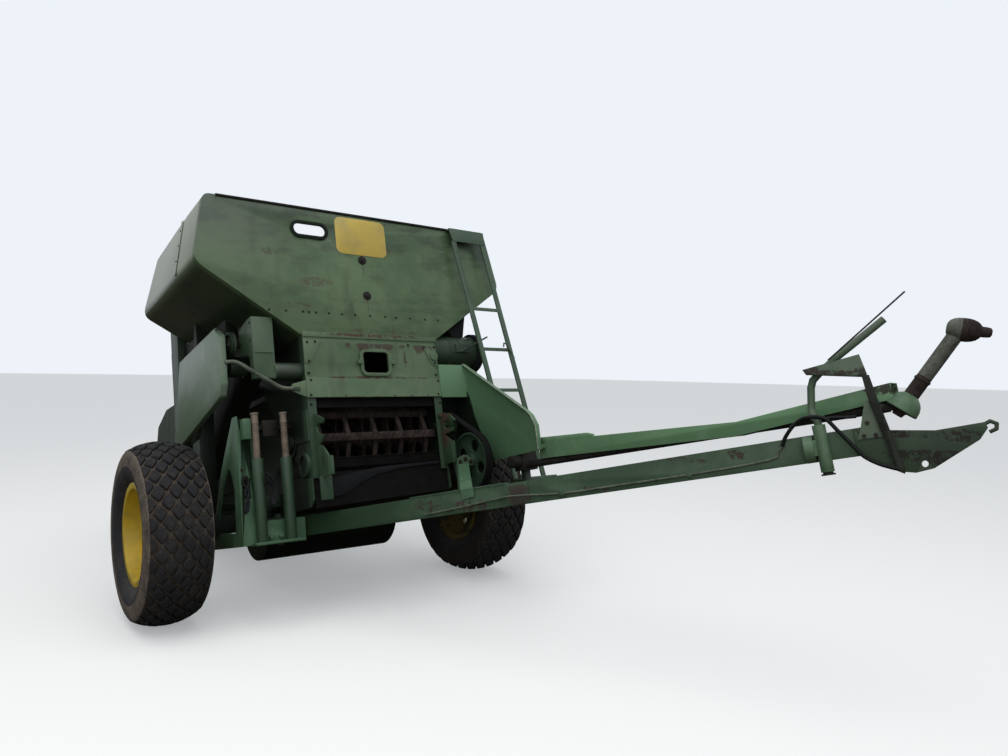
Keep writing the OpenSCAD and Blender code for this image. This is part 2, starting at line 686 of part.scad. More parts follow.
// Ladder at the left front corner, hung from a plate on the tank's top edge
ladder_top = [958, -front_y - 50, tank_top - 115];
ladder_foot = [1175, -front_y - 210, 700];
ladder_run = ladder_foot - ladder_top;
rail_wide = 42;
function on_rails(z) = ladder_top + ladder_run * (z - ladder_top[2]) / ladder_run[2];
module ladder() {
    color(green) parked() {
        for (side = [-1, 1]) translate(ladder_top + [side * ladder_w / 2, 0, 0])
            rotate([-atan2(-ladder_run[1], -ladder_run[2]), 0, 0])
                rotate([0, -asin(ladder_run[0] / norm(ladder_run)), 0])
                    translate([-rail_wide / 2, -7, -norm(ladder_run)]) cube([rail_wide, 14, norm(ladder_run)]);
        for (k = [0:rung_count - 1]) {
            p = on_rails(rung_top - k * rung_step);
            block(p + [-ladder_w / 2, -5, -13], p + [ladder_w / 2, 6, 13]);
        }
        difference() {
            block([1030, -1010, 668], [1400, -890, 706]);
            block([1040, -1000, 660], [1390, -900, 700]);
            for (k = [0:6], y = [-975, -925]) translate([1070 + 48 * k, y, 650])
                cylinder(r = 11, h = 100, $fn = coarse);
        }
        // Hanger plate and hook
        along_y(-front_y - 62, -front_y - 56) polygon([
            [767, tank_top - 12], [1120, tank_top - 12], [1128, tank_top - 119], [800, tank_top - 119]
        ]);
        block([780, -front_y - 62, tank_top - 16], [1110, -front_y, tank_top - 10]);
        pipe([on_rails(1700) + [ladder_w / 2 + 24, 0, 0], [1150, -880, 1815], [1125, -885, 1815], [1118, -885, 1785]], 6);
    }
}

// Unloading auger: a fixed cross tube, and the outer tube folded to the rear on its swing hinge
elbow_y = -600;
elbow_z = 1790;
elbow_end = 1010;
elbow_r = auger_r - 6;
auger_angle = 3;
auger_wall = 5;
// The swing hinge sits behind the tube and inboard of its end
hinge_off = 190;
hinge_in = 80;
hinge_r = 12;
hinge_x = elbow_end + air - hinge_in;
hinge_y = elbow_y + hinge_off;
module auger_elbow() {
    color(green) parked() {
        difference() {
            union() {
                rod_x(half_body, elbow_end - 4, elbow_y, elbow_z, elbow_r, fine);
                rod_x(half_body, half_body + 20, elbow_y, elbow_z, elbow_r + 20, fine);
                for (x = [690, 790]) rod_x(x, x + 8, elbow_y, elbow_z, elbow_r + 4, fine);
            }
            tank_form(tank_front, tank_side);
        }
        translate([hinge_x, hinge_y, elbow_z - 100]) cylinder(r = hinge_r, h = 200, $fn = medium);
        for (z = [-100, 80])
            block([hinge_x - 22, elbow_y + 60, elbow_z + z], [hinge_x + 22, hinge_y + 24, elbow_z + z + 20]);
        // Latch across the tube with its lever
        block([740, elbow_y - elbow_r - 16, 1762], [880, elbow_y - elbow_r + 12, 1832]);
        rod_between([775, elbow_y - elbow_r - 22, 1765], [1056, elbow_y - elbow_r - 26, 1897], 7);
        rod_between([860, elbow_y - 100, 1870], [925, elbow_y - 104, 1900], 7);
    }
}
// Black parts: the seal at the tube's end and the boot under the tank's outlet
module outlet_boot() {
    color(black) parked() {
        difference() {
            rod_x(elbow_end - 48, elbow_end, elbow_y, elbow_z, auger_r + 20, fine);
            rod_x(half_body, elbow_end + 1, elbow_y, elbow_z, elbow_r, fine);
        }
        difference() {
            along_y(elbow_y - 80, elbow_y + 80) polygon([
                [725, under(725)], [912, under(912)], [862, 1880], [776, 1880]
            ]);
            rod_x(half_body, elbow_end, elbow_y, elbow_z, elbow_r + 4, fine);
        }
    }
}
module unloading_auger() {
    color(green) parked() translate([hinge_x, hinge_y, elbow_z]) rotate([0, 0, auger_angle])
        difference() {
            union() {
                translate([hinge_off, hinge_in, 0]) rotate([-90, 0, 0]) {
                    cylinder(r = auger_r, h = auger_len, $fn = fine);
                    cylinder(r = auger_r + 10, h = 26, $fn = fine);
                    translate([0, 0, auger_len - 300]) cylinder(r = auger_r + 6, h = 40, $fn = fine);
                }
                for (z = [-70, 50]) {
                    block([0, hinge_in + 5, z], [hinge_off, hinge_in + 25, z + 20]);
                    block([-20, -20, z], [20, hinge_in + 25, z + 20]);
                }
            }
            translate([0, 0, -100]) cylinder(r = hinge_r + pin_play, h = 200, $fn = medium);
            translate([hinge_off, hinge_in, 0]) rotate([-90, 0, 0]) translate([0, 0, 22])
                cylinder(r = auger_r - auger_wall, h = auger_len, $fn = fine);
            translate([hinge_off, hinge_in + auger_len - 150, -auger_r - 20])
                cylinder(r = auger_r - 30, h = auger_r, $fn = medium);
        }
}

// Elevators on the right side, and the bar that the right shield hangs on
elev_out = 790;
elev_in = 655;
head_out = 890;
head_in = 745;
shield_right_x = 1050;
shield_depth = 45;
shield_hinge = [-390, 1964];
shield_slope = atan2(39, 865);
shield_len = 800;
bar_r = 7;
knuckle_r = 14;
bar_x = -shield_right_x + 30;
module at_shield_hinge() {
    translate([bar_x, shield_hinge[0], shield_hinge[1]]) rotate([-shield_slope, 0, 0]) children();
}
module elevator_head() {
    color(green) parked() {
        difference() {
            union() {
                along_x(-elev_out, -elev_in) polygon([
                    [-440, 1700], [-440, 1994], [-240, 2000], [-100, 1900], [1560, 1010], [1640, 900],
                    [1600, 760], [1440, 720], [1360, 800], [-206, 1650]
                ]);
                along_x(-head_out, -head_in) polygon([
                    [-700, 1545], [-700, 1975], [-620, 1975], [-440, 1938], [-430, 1775], [-620, 1715],
                    [-640, 1545]
                ]);
                block([-head_out + 12, -706, 1722], [-head_in - 10, -690, 1730]);
            }
            tank_form(tank_front, tank_side);
        }
        along_x(-elev_out - 14, -elev_out) polygon([
            [-435, 1700], [-435, 1960], [-260, 1970], [-215, 1800], [-330, 1660]
        ]);
        block([-elev_in, 1380, rail_z + rail_h + 10], [-half_body, 1500, 900]);
        block([-elev_in, -400, 1640], [-half_body, -340, 1700]);
        // Round duct to the body
        rod_x(-head_in - 1, -half_body, -655, 1600, 62, fine);
        at_shield_hinge() {
            rotate([-90, 0, 0]) cylinder(r = bar_r, h = shield_len, $fn = coarse);
            for (y = [150, 480]) block([0, y, -6], [-bar_x - elev_out, y + 24, 6]);
        }
    }
}
module grain_elevator() {
    color(pale_green) parked() difference() {
        union() {
            block([-985, 740, 700], [-905, 930, 2480]);
            block([-995, 720, 640], [-895, 950, 800]);
            block([-980, 560, 2340], [-910, 741, 2470]);
            block([-896, 780, rail_z + 10], [-half_body - rail_w, 840, rail_z + 70]);
            rod_x(-1020, -994, 835, 730, 60);
        }
        tank_form(tank_front, tank_side);
    }
}
drive_hub = [-400, 1842];
module right_drive() {
    color(green) parked() {
        rod_x(-966, -elev_out - 14, drive_hub[0], drive_hub[1], 20);
        translate([-958, drive_hub[0], drive_hub[1]]) rotate([0, 90, 0]) rotate_extrude($fn = fine)
            polygon([[16, 0], [42, -4], [42, 6], [66, 10], [72, -2], [93, -2], [93, 6], [82, 16],
                     [93, 26], [93, 34], [16, 34]]);
        rod_x(-925, -elev_out - 14, -270, 1715, 74);
        rod_x(-940, -924, -270, 1715, 30);
        // Bent lever in front of the elevator
        pipe([[-1100, -753, 1635], [-1026, -753, 1637], [-930, -753, 1582], [-831, -753, 1523],
              [-731, -753, 1468], [-651, -753, 1463]], 12);
        block([-655, -752, 1449], [-600, -740, 1473]);
    }
}

// Side shields: the right one is a deep tray on a hinge, the left one a plate with a rim
shield_right_edge = eased([
    [-450, 1465], [541, 1272], [710, 1300], [470, 1914], [-395, 1953], [-497, 1890], [-497, 1545]
], [40, 30, 30, 30, 50, 50, 60]);
module shield_right() {
    color(pale_green) parked() difference() {
        union() {
            difference() {
                along_x(-shield_right_x, -shield_right_x + shield_depth) polygon(shield_right_edge);
                along_x(-shield_right_x + 5, -shield_right_x + shield_depth + 1)
                    polygon(inset(shield_right_edge, 5));
            }
            at_shield_hinge() for (y = [30, 380, 730]) translate([0, y, 0]) {
                rotate([-90, 0, 0]) cylinder(r = knuckle_r, h = 50, $fn = coarse);
            }
        }
        at_shield_hinge() translate([0, -10, 0]) rotate([-90, 0, 0])
            cylinder(r = bar_r + pin_play, h = shield_len + 20, $fn = coarse);
    }
}
shield_left_x = 800;
shield_left_edge = [
    [-748, 1665], [-1476, 1152], [-1514, 1116], [-1554, 1037], [-1552, 863], [-979, 853],
    [-945, 942], [-870, 1030], [-786, 1226], [-750, 1394]
];
module shield_left() {
    left_rim = inset(shield_left_edge, 7);
    color(green) parked() difference() {
        union() {
            along_x(shield_left_x, shield_left_x + 10) polygon(shield_left_edge);
            along_x(shield_left_x - 26, shield_left_x + 10) polygon([
                for (i = [0:4]) shield_left_edge[i], for (i = [4:-1:0]) left_rim[i]
            ]);
            // Corner panel between the throat and the shield
            block([half_body, -front_y - 22, 1394], [shield_left_x + 10, -front_y - 10, 1655]);
            block([half_body, -front_y - 10, 1400], [half_body + 20, -front_y, 1640]);
            // Bracket to the shaft's channel
            block([shield_left_x + 10, -1540, 870], [856, -1505, 900]);
        }
        rod_x(0, 2000, elbow_y, elbow_z, elbow_r + 4, fine);
    }
}

// Feeder drive on the left front: a large sheave, a small pulley and one wide belt
sheave_y = -930;
sheave_z = 870;
sheave_r = 215;
pulley_y = -670;
pulley_z = 1190;
pulley_r = 80;
pulley_shaft_r = 22;
sheave_shaft_r = 25;
belt_t = 14;
belt_w = 60;
drive_x = 640;
sheave_w = 60;
module drive_sheave() {
    color(green) parked() difference() {
        union() {
            difference() {
                rod_x(drive_x - sheave_w / 2, drive_x + sheave_w / 2, sheave_y, sheave_z, sheave_r, fine);
                for (x = [drive_x - sheave_w / 2 - 1, drive_x + 8])
                    rod_x(x, x + sheave_w / 2 - 7, sheave_y, sheave_z, sheave_r - 18, fine);
            }
            rod_x(drive_x - 34, drive_x + 34, sheave_y, sheave_z, 56);
            rod_x(drive_x - 95, drive_x + 60, sheave_y, sheave_z, sheave_shaft_r);
        }
        for (k = [0:3]) translate([drive_x, sheave_y, sheave_z]) rotate([90 * k + 30, 0, 0])
            translate([0, 122, 0]) rotate([0, 90, 0]) translate([0, 0, -50])
                cylinder(r = 46, h = 100, $fn = medium);
    }
}
// The sheave's bearing on a leaning post that stands on the drive arm
stand_x = [drive_x - 82, drive_x - 46];
module sheave_stand() {
    color(pale_green) parked() difference() {
        union() {
            rod_x(stand_x[0], stand_x[1], sheave_y, sheave_z, 46);
            block([stand_x[0], sheave_y - 60, sheave_z - 36], [stand_x[0] + 10, sheave_y + 80, sheave_z + 30]);
            block([stand_x[0] + 10, sheave_y - 40, arm_z + 60], [stand_x[1], sheave_y - 28, sheave_z]);
            block([stand_x[0] + 10, sheave_y - 40, arm_z + 60], [stand_x[0] + 22, sheave_y + 40, sheave_z]);
            block([arm_x, sheave_y - 60, arm_z + 60], [arm_x + 60, sheave_y + 60, arm_z + 70]);
        }
        rod_x(0, drive_x - 36, sheave_y, sheave_z, sheave_shaft_r + pin_play);
    }
}
module drive_pulley() {
    color(green) parked() {
        difference() {
            rod_x(drive_x - 30, drive_x + 30, pulley_y, pulley_z, pulley_r, fine);
            rod_x(drive_x + 4, drive_x + 31, pulley_y, pulley_z, pulley_r - 14, fine);
        }
        rod_x(wall_in - 20, drive_x + 34, pulley_y, pulley_z, pulley_shaft_r);
    }
}
// Outline of a belt round two pulleys: tangent points joined by arcs
module belt_outline(a, ra, b, rb, steps = 24) {
    d = b - a;
    heading = atan2(d[1], d[0]);
    open = acos((ra - rb) / norm(d));
    polygon(concat(
        [for (k = [0:steps]) a + ra * [cos(heading + open + (360 - 2 * open) * k / steps),
                                       sin(heading + open + (360 - 2 * open) * k / steps)]],
        [for (k = [0:steps]) b + rb * [cos(heading - open + 2 * open * k / steps),
                                       sin(heading - open + 2 * open * k / steps)]]
    ));
}
module drive_belt() {
    color(black) parked() along_x(drive_x - belt_w / 2, drive_x + belt_w / 2) difference() {
        belt_outline([sheave_y, sheave_z], sheave_r + 1 + belt_t, [pulley_y, pulley_z], pulley_r + 1 + belt_t);
        belt_outline([sheave_y, sheave_z], sheave_r + 1, [pulley_y, pulley_z], pulley_r + 1);
    }
}

// Tongue: a straight beam from its pivot under the body to the hitch
pivot = [-590, -165, 535];
function tongue_at(x, y, z) =
    let (
        yy = y * cos(tongue_rise) + z * sin(tongue_rise),
        zz = z * cos(tongue_rise) - y * sin(tongue_rise)
    )
    pivot + [x * cos(tongue_turn) - yy * sin(tongue_turn), x * sin(tongue_turn) + yy * cos(tongue_turn), zz];
module on_tongue() {
    translate(pivot) rotate([0, 0, tongue_turn]) rotate([-tongue_rise, 0, 0]) children();
}
lap = [-1195, -1905];
pipe_path = [
    [-1300, -46], [-1644, -28], [-1930, -10], [-2259, -38], [-2633, -39], [-3091, -38], [-3461, -24],
    [-3508, 10], [-3538, 40]
];
pipe_r = 6;
module tongue() {
    half = beam_w / 2;
    color(green) parked() difference() {
        tongue_beam(half);
        translate([pivot[0], pivot[1], 0]) cylinder(r = jaw_r + pin_play, h = 2 * pivot[2], $fn = medium);
    }
}
module tongue_beam(half) {
    on_tongue() {
        difference() {
            block([-half, -beam_len, -beam_h / 2], [half, 60, beam_h / 2]);
            block([-half + tongue_wall, -beam_len - 1, -beam_h / 2 + tongue_wall],
                  [half - tongue_wall, 61, beam_h / 2 - tongue_wall]);
        }
        // Lap plates over the splice
        along_x(-half - 4, half + 4) polygon([
            [lap[0], beam_h / 2], [lap[1], beam_h / 2], [lap[1] + 40, beam_h / 2 + 9], [lap[0], beam_h / 2 + 9]
        ]);
        block([-half - 6, lap[1] - 150, -beam_h / 2 + 4], [-half, lap[1] + 10, beam_h / 2 - 6]);
        block([-half - 6, -1640, -beam_h / 2 + 4], [-half, -1520, beam_h / 2 - 50]);
        // Oil pipe along the near side, on two clips
        pipe([for (q = pipe_path) [-half - pipe_r + 2, q[0], q[1]]], pipe_r);
        for (y = [-2270, -3030]) block([-half - 16, y - 14, -52], [-half, y + 14, -26]);
    }
}
nose_outline = [
    [-3880, -69], [-3926, -86], [-4050, -172], [-4110, -186], [-4190, -176], [-4400, -73],
    [-4442, -25], [-4436, 4], [-4230, 0], [-3960, 48], [-3880, 69]
];
pin_at = [-4158, -150];
module hitch_nose() {
    color(green) parked() on_tongue() difference() {
        union() {
            for (side = [0, 1]) mirror([side, 0, 0]) along_x(beam_w / 2, beam_w / 2 + 12) polygon(nose_outline);
            block([-beam_w / 2, -4330, -66], [beam_w / 2, -4300, -20]);
            block([-beam_w / 2, -4090, -172], [beam_w / 2, -4040, -160]);
            // Safety hook at the tip
            pipe([[0, -4300, -40], [0, -4400, -30], [0, -4432, -6], [0, -4462, 6], [0, -4486, -10],
                  [0, -4480, -34], [0, -4450, -44]], 9);
        }
        rod_x(-200, 200, pin_at[0], pin_at[1], hitch_pin_r);
    }
}

// Channel over the drive shaft, bent by a knock, from the left drive to the tower over the hitch
channel_at = [900, -1490];
channel_turn = 5.73;
channel_wall = 5;
channel_outline = [[-20, 806], [-20, 930], [1544, 810], [2402, 862], [2402, 780], [1534, 730]];
channel_inside = [[-30, 600], [-30, 925], [1544, 805], [2410, 857], [2410, 600]];
module in_channel_plane() {
    translate([channel_at[0], channel_at[1], 0]) rotate([0, 0, channel_turn - 90]) children();
}
module channel_slab(w, outline) {
    in_channel_plane() rotate([90, 0, 0]) translate([0, 0, -w / 2]) linear_extrude(w) polygon(outline);
}
module pto_channel() {
    color(green) parked() {
        difference() {
            channel_slab(channel_w, channel_outline);
            channel_slab(channel_w - 2 * channel_wall, channel_inside);
        }
        // Loose strip that lies on the channel's rear end
        in_channel_plane() block([-30, -40, 925], [20, -30, 950]);
        in_channel_plane() rotate([90, 0, 0]) translate([0, 0, 20]) linear_extrude(26)
            polygon([[-30, 929], [480, 889], [480, 906], [430, 922], [-30, 957]]);
    }
}
// Where the folded shaft turns on the cross of its universal joint
joint_at = [1150, -3895, 748];
cross_r = 11;
ear_gap = 50;
module at_joint() {
    translate(joint_at) rotate([0, 0, tongue_turn]) children();
}
line_r = 28;
module pto_line() {
    color(black) parked() {
        in_channel_plane() rod_between([-260, 0, 784], [2360, 0, 750], line_r, medium);
        // Gearbox that stands on the drive arm
        block([835, -1300, 745], [965, -1190, 880]);
        rod_x(760, 835, -1245, 812, 45);
        at_joint() {
            rod_x(-ear_gap / 2 - 22, ear_gap / 2 + 22, 0, 0, cross_r);
            block([-12, 0, -20], [12, 84, 20]);
            translate([0, 84, 0]) rotate([-90, 0, 0]) cylinder(r = line_r, h = 26, $fn = medium);
        }
    }
}
// Tower plate bolted to the nose, and the flat strap over it
module hitch_tower() {
    half = beam_w / 2;
    color(green) parked() difference() {
        on_tongue() {
            along_x(-half - 20, -half - 12) polygon([
                [-3955, 186], [-4012, 186], [-4022, 37], [-4022, 8], [-3888, 9], [-3908, 46]
            ]);
            block([-half - 20, -4010, 150], [20, -3960, 190]);
        }
        channel_slab(channel_w, channel_outline);
        channel_slab(channel_w - 2 * channel_wall, channel_inside);
        at_joint() translate([0, -60, 0]) rotate([-90, 0, 0]) cylinder(r = 48, h = 220, $fn = medium);
    }
}
strap_x = -beam_w / 2 - 42;
module hitch_strap() {
    color(rust) parked() on_tongue() {
        along_x(strap_x, strap_x + 8) polygon([
            [-3970, 326], [-4004, 314], [-4017, 200], [-4070, -165], [-4062, -184], [-4034, -166], [-3976, 190]
        ]);
        translate([strap_x - 12, -4050, -160]) rotate([0, 90, 0])
            cylinder(r = 11, h = -beam_w / 2 - 12 - strap_x + 12, $fn = coarse);
    }
}
// Folded shaft: yoke, guard bell, tube, and the second joint's guard and yoke at its end
function fold_ring(r, wall) = [[r[0] - wall, 0], [r[0], 0], [r[1], 90], [r[1] - wall, 90]];
module folded_shaft() {
    tube_len = 400;
    color(green) parked() at_joint() rotate([-pto_fold, 0, 0]) difference() {
        union() {
            rotate([90, 0, 0]) {
                translate([0, 0, 50]) cylinder(r = pto_tube_r, h = tube_len - 40, $fn = medium);
                translate([0, 0, 52]) cylinder(r = pto_tube_r + 5, h = 34, $fn = medium);
                translate([0, 0, 60]) rotate_extrude($fn = medium) polygon(fold_ring([68, 46], 5));
                translate([0, 0, 142]) cylinder(r = 52, h = 8, $fn = medium);
            }
            translate([0, -tube_len - 20, 0]) rotate([pto_fold + 16, 0, 0]) rotate([90, 0, 0]) {
                translate([0, 0, -40]) cylinder(r1 = 46, r2 = 60, h = 130, $fn = medium);
                translate([0, 0, 80]) cylinder(r = 24, h = 60, $fn = medium);
                for (x = [-32, 20]) translate([x, -18, 120]) cube([12, 36, 56]);
                translate([0, 0, 152]) rotate([0, 90, 0]) cylinder(r = 10, h = 80, center = true, $fn = coarse);
            }
            for (x = [-ear_gap / 2 - 12, ear_gap / 2]) block([x, -60, -22], [x + 12, 22, 22]);
            block([-ear_gap / 2 - 12, -64, -22], [ear_gap / 2 + 12, -48, 22]);
        }
        rod_x(-100, 100, 0, 0, cross_r + pin_play);
    }
}
// Bent tube with a plate that holds the hoses, above the jack
stand_path = [
    [-95, -3728, 111], [-95, -3728, 132], [-60, -3710, 158], [-38, -3707, 200], [-30, -3726, 309], [-30, -3742, 345],
    [-30, -3775, 372], [-30, -3872, 437], [-30, -4125, 582]
];
stand_r = 19;
module hose_stand() {
    color(green) parked() on_tongue() {
        pipe(stand_path, stand_r, medium);
        along_x(-30 - stand_r - 8, -30 - stand_r) polygon([
            [-3704, 406], [-3980, 430], [-3996, 325], [-3980, 312], [-3718, 376]
        ]);
        along_x(-30 - stand_r - 32, -30 - stand_r) polygon([
            [-3712, 388], [-3990, 330], [-3984, 314], [-3718, 376]
        ]);
    }
}
hose_r = 8;
module hoses() {
    x = -beam_w / 2 - hose_r - 0.3;
    over = strap_x - hose_r - 0.3;
    color(black) parked() on_tongue() {
        pipe([[x, -3537, 44], [x - 20, -3582, 80], [x - 40, -3643, 132], [over - 30, -3719, 148],
              [over - 30, -3764, 134], [over - 18, -3824, 82], [over, -3894, -30], [over, -3987, -120],
              [over, -4030, -146]], hose_r);
        pipe([[-30, -3822, 444], [-30, -3900, 482], [-30, -4125, 612], [-30, -4190, 690]], 6);
    }
}
// Parking jack: a flange on the tongue's side carries the tube, and the leg slides in it
jack_at = [-95, -3728];
jack_r = 32;
leg_r = 25;
module jack_tube() {
    color(green) parked() on_tongue() difference() {
        union() {
            translate([jack_at[0], jack_at[1], -125]) cylinder(r = jack_r, h = 236, $fn = medium);
            translate([-60, -3640, -3]) rotate([90, 0, 0]) cylinder(r = 68, h = 46, $fn = medium);
            block([jack_at[0] - 20, -3710, -40], [-beam_w / 2, -3680, 40]);
        }
        block([-beam_w / 2, -4000, -beam_h / 2], [300, 0, beam_h / 2]);
        translate([jack_at[0], jack_at[1], -126]) cylinder(r = leg_r + pin_play, h = 226, $fn = medium);
    }
}
module jack_leg() {
    color(steel) parked() on_tongue() translate([jack_at[0], jack_at[1], 0]) {
        translate([0, 0, -134]) cylinder(r = leg_r, h = 226, $fn = medium);
        translate([0, 0, -142]) cylinder(r = 34, h = 9, $fn = medium);
    }
}

// Middle of the parked machine, from its tyres, its hitch nose and its tail
middle_x = (left_out - right_out) / 2;
front_reach = -4136.3;
back_reach = parked_y(tail_slope(1250) + 30, 1250) + 9;
middle_y = (front_reach + back_reach) / 2;

tyre(-1);  // tyre_right
rim(-1);  // rim_right
tyre(1);  // tyre_left
rim(1);  // rim_left
axle();
main_frame();
side_wall(-1);  // side_right
side_wall(1);  // side_left
hood();
underpan();
tail_curtain();
rear_door();
separator_mass();
fan_housing();
throat_plates();
throat_window();
stone_trap();
throat_flap();
threshing_cylinder();
concave();
feeder_hooks();
front_frame();
lift_barrels();
lift_rod(barrel_x[0]);  // lift_rod_outer
lift_rod(barrel_x[1]);  // lift_rod_inner
jackshaft();
grain_tank();
tank_window();
maker_plate();
tank_posts();
ladder();
auger_elbow();
outlet_boot();
unloading_auger();
elevator_head();
grain_elevator();
right_drive();
shield_right();
shield_left();
sheave_stand();
drive_sheave();
drive_pulley();
drive_belt();
tongue();
hitch_nose();
pto_channel();
pto_line();
hitch_tower();
hitch_strap();
folded_shaft();
hose_stand();
hoses();
jack_tube();
jack_leg();
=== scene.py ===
# %% [markdown]
# A pull-type combine harvester stands parked in the open: faded green sheet metal, a dark throat
# with its threshing cylinder, two tall flotation tyres and a long tongue with a folded drive
# shaft. The construction model already has every solid in its place, so this script loads it as a
# fixed frame and adds what a maker's drawing leaves out: tread, bolts, seams, rolled edges, worn
# paint, rust and dust.

# %% Load the frame
import json
import math

import bmesh
import bpy
from mathutils import Matrix, Vector


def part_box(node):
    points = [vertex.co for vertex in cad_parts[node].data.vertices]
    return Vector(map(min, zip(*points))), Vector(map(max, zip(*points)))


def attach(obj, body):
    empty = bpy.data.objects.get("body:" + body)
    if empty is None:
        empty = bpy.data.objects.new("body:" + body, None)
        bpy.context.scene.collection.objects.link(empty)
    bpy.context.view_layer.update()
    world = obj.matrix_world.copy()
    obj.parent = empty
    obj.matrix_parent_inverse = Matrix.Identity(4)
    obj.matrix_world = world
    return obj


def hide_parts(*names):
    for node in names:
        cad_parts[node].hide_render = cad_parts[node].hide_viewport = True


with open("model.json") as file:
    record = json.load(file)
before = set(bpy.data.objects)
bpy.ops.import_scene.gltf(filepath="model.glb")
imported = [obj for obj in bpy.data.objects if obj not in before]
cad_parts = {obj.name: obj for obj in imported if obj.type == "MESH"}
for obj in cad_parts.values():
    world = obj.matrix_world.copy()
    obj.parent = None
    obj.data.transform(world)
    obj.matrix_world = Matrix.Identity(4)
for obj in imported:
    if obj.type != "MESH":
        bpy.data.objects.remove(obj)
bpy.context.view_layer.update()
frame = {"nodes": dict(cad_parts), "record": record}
record = frame["record"]

# %% [markdown]
# The machine leans back on its tail, so nothing on it is level. Sizes are easier to think about on
# the machine itself, where the axle runs along X and the throat is a plain upright wall. One small
# function turns such a level place into the place where it stands.

# %% Level machine to standing machine
NOSE_UP = math.radians(13)
FRONT, BACK, RIGHT, LEFT, UP = (0, -1, 0), (0, 1, 0), (-1, 0, 0), (1, 0, 0), (0, 0, 1)
joints = {joint["name"]: joint for joint in record["behaviour"]["joints"]}
axle = Vector(joints["right_wheel"]["pos_m"])
body_middle = joints["cylinder_spin"]["pos_m"][0]
WHEEL_R = axle.z
TIP = Matrix.Rotation(-NOSE_UP, 3, "X")


def turn(direction):
    """A level direction, tipped back with the machine."""
    return TIP @ Vector(direction)


def stand(x, y, z):
    """A level place in metres, from the body's middle, the axle and the ground, where it stands."""
    return Vector((body_middle, axle.y, WHEEL_R)) + turn((x, y, z - WHEEL_R))


def metres(*rows):
    """Rows of millimetres, in metres."""
    return [tuple(value / 1000 for value in row) for row in rows]


def standing(places):
    return [stand(*place) for place in places]


print("the axle is %.3f m above the ground" % WHEEL_R)

# %% [markdown]
# Paint that has stood outside for decades is never one colour: it chalks and fades, grime runs down
# it, and rust blooms where it is thin. Shader arithmetic reads best as ordinary sums, so a small
# class wraps a socket, and each operator adds the Math node that it stands for. Every other node
# comes from one method that takes the node's type, its settings and its inputs.

# %% Shader sums and nodes
class Wire:
    """A socket whose sums and products become Math nodes."""

    def __init__(self, tree, socket):
        self.tree = tree
        self.socket = socket

    def sum(self, operation, other, swapped=False):
        node = self.tree.nodes.new("ShaderNodeMath")
        node.operation = operation
        pair = (other, self) if swapped else (self, other)
        for place, value in zip(node.inputs, pair):
            if isinstance(value, Wire):
                self.tree.links.new(value.socket, place)
            else:
                place.default_value = value
        return Wire(self.tree, node.outputs[0])

    def __add__(self, other):
        return self.sum("ADD", other)

    def __sub__(self, other):
        return self.sum("SUBTRACT", other)

    def __rsub__(self, other):
        return self.sum("SUBTRACT", other, swapped=True)

    def __mul__(self, other):
        return self.sum("MULTIPLY", other)

    def __or__(self, other):
        return self.sum("MAXIMUM", other)

    __radd__ = __add__
    __rmul__ = __mul__


class Finish:
    """A material with a Principled shader, which reads Object coordinates."""

    def __init__(self, name, roughness=0.6, metallic=0.0):
        self.material = bpy.data.materials.new(name)
        self.material.use_nodes = True
        self.tree = self.material.node_tree
        self.shader = self.tree.nodes["Principled BSDF"]
        self.set("Roughness", roughness)
        self.set("Metallic", metallic)
        self.place = self.add("ShaderNodeTexCoord", output="Object")

    def add(self, kind, settings=None, inputs=None, output=0):
        node = self.tree.nodes.new(kind)
        for name, value in (settings or {}).items():
            setattr(node, name, value)
        for name, value in (inputs or {}).items():
            if isinstance(value, Wire):
                self.tree.links.new(value.socket, node.inputs[name])
            else:
                node.inputs[name].default_value = value
        return Wire(self.tree, node.outputs[output])

    def set(self, name, value):
        if isinstance(value, Wire):
            self.tree.links.new(value.socket, self.shader.inputs[name])
        else:
            self.shader.inputs[name].default_value = value

    def vector(self, operation, first, second=(0, 0, 0), output=0):
        return self.add("ShaderNodeVectorMath", {"operation": operation}, {0: first, 1: second}, output)

    def noise(self, scale, detail=3.0, stretch=(1, 1, 1), rough=0.5):
        return self.add("ShaderNodeTexNoise", None,
                        {"Vector": self.vector("MULTIPLY", self.place, stretch), "Scale": scale,
                         "Detail": detail, "Roughness": rough})

    def rise(self, value, low, high):
        """0 below low and 1 above high, with a smooth step between them."""
        return self.add("ShaderNodeMapRange", {"interpolation_type": "SMOOTHSTEP"},
                        {"Value": value, "From Min": low, "From Max": high})

    def near(self, centre, size):
        """1 at a place, falling to 0 at the edge of an egg-shaped patch."""
        gap = self.vector("DIVIDE", self.vector("SUBTRACT", self.place, tuple(centre)), tuple(size))
        return self.rise(1 - self.vector("LENGTH", gap, output="Value"), 0.0, 0.6)

    def past(self, direction, low, high):
        """0 before low and 1 past high, in metres along a direction of the level machine."""
        way = turn(direction)
        along = self.vector("DOT_PRODUCT", self.place, tuple(way), "Value") - way.dot(stand(0, 0, 0))
        return self.rise(along, low, high)

    def blend(self, share, first, second):
        """Two colours mixed by a share from 0 to 1."""
        return self.add("ShaderNodeMix", {"data_type": "RGBA", "clamp_factor": True},
                        {0: share, 6: colour(first), 7: colour(second)}, 2)

    def bump(self, height, strength, distance=0.002):
        self.set("Normal", self.add("ShaderNodeBump", None,
                                    {"Height": height, "Strength": strength, "Distance": distance}))


def colour(value):
    """A wire as it is, or three numbers from 0 to 255 as a linear colour."""
    if isinstance(value, Wire):
        return value
    shares = [part / 255 for part in value]
    return tuple(part / 12.92 if part < 0.04045 else ((part + 0.055) / 1.055) ** 2.4
                 for part in shares) + (1.0,)


print("shader helpers ready")

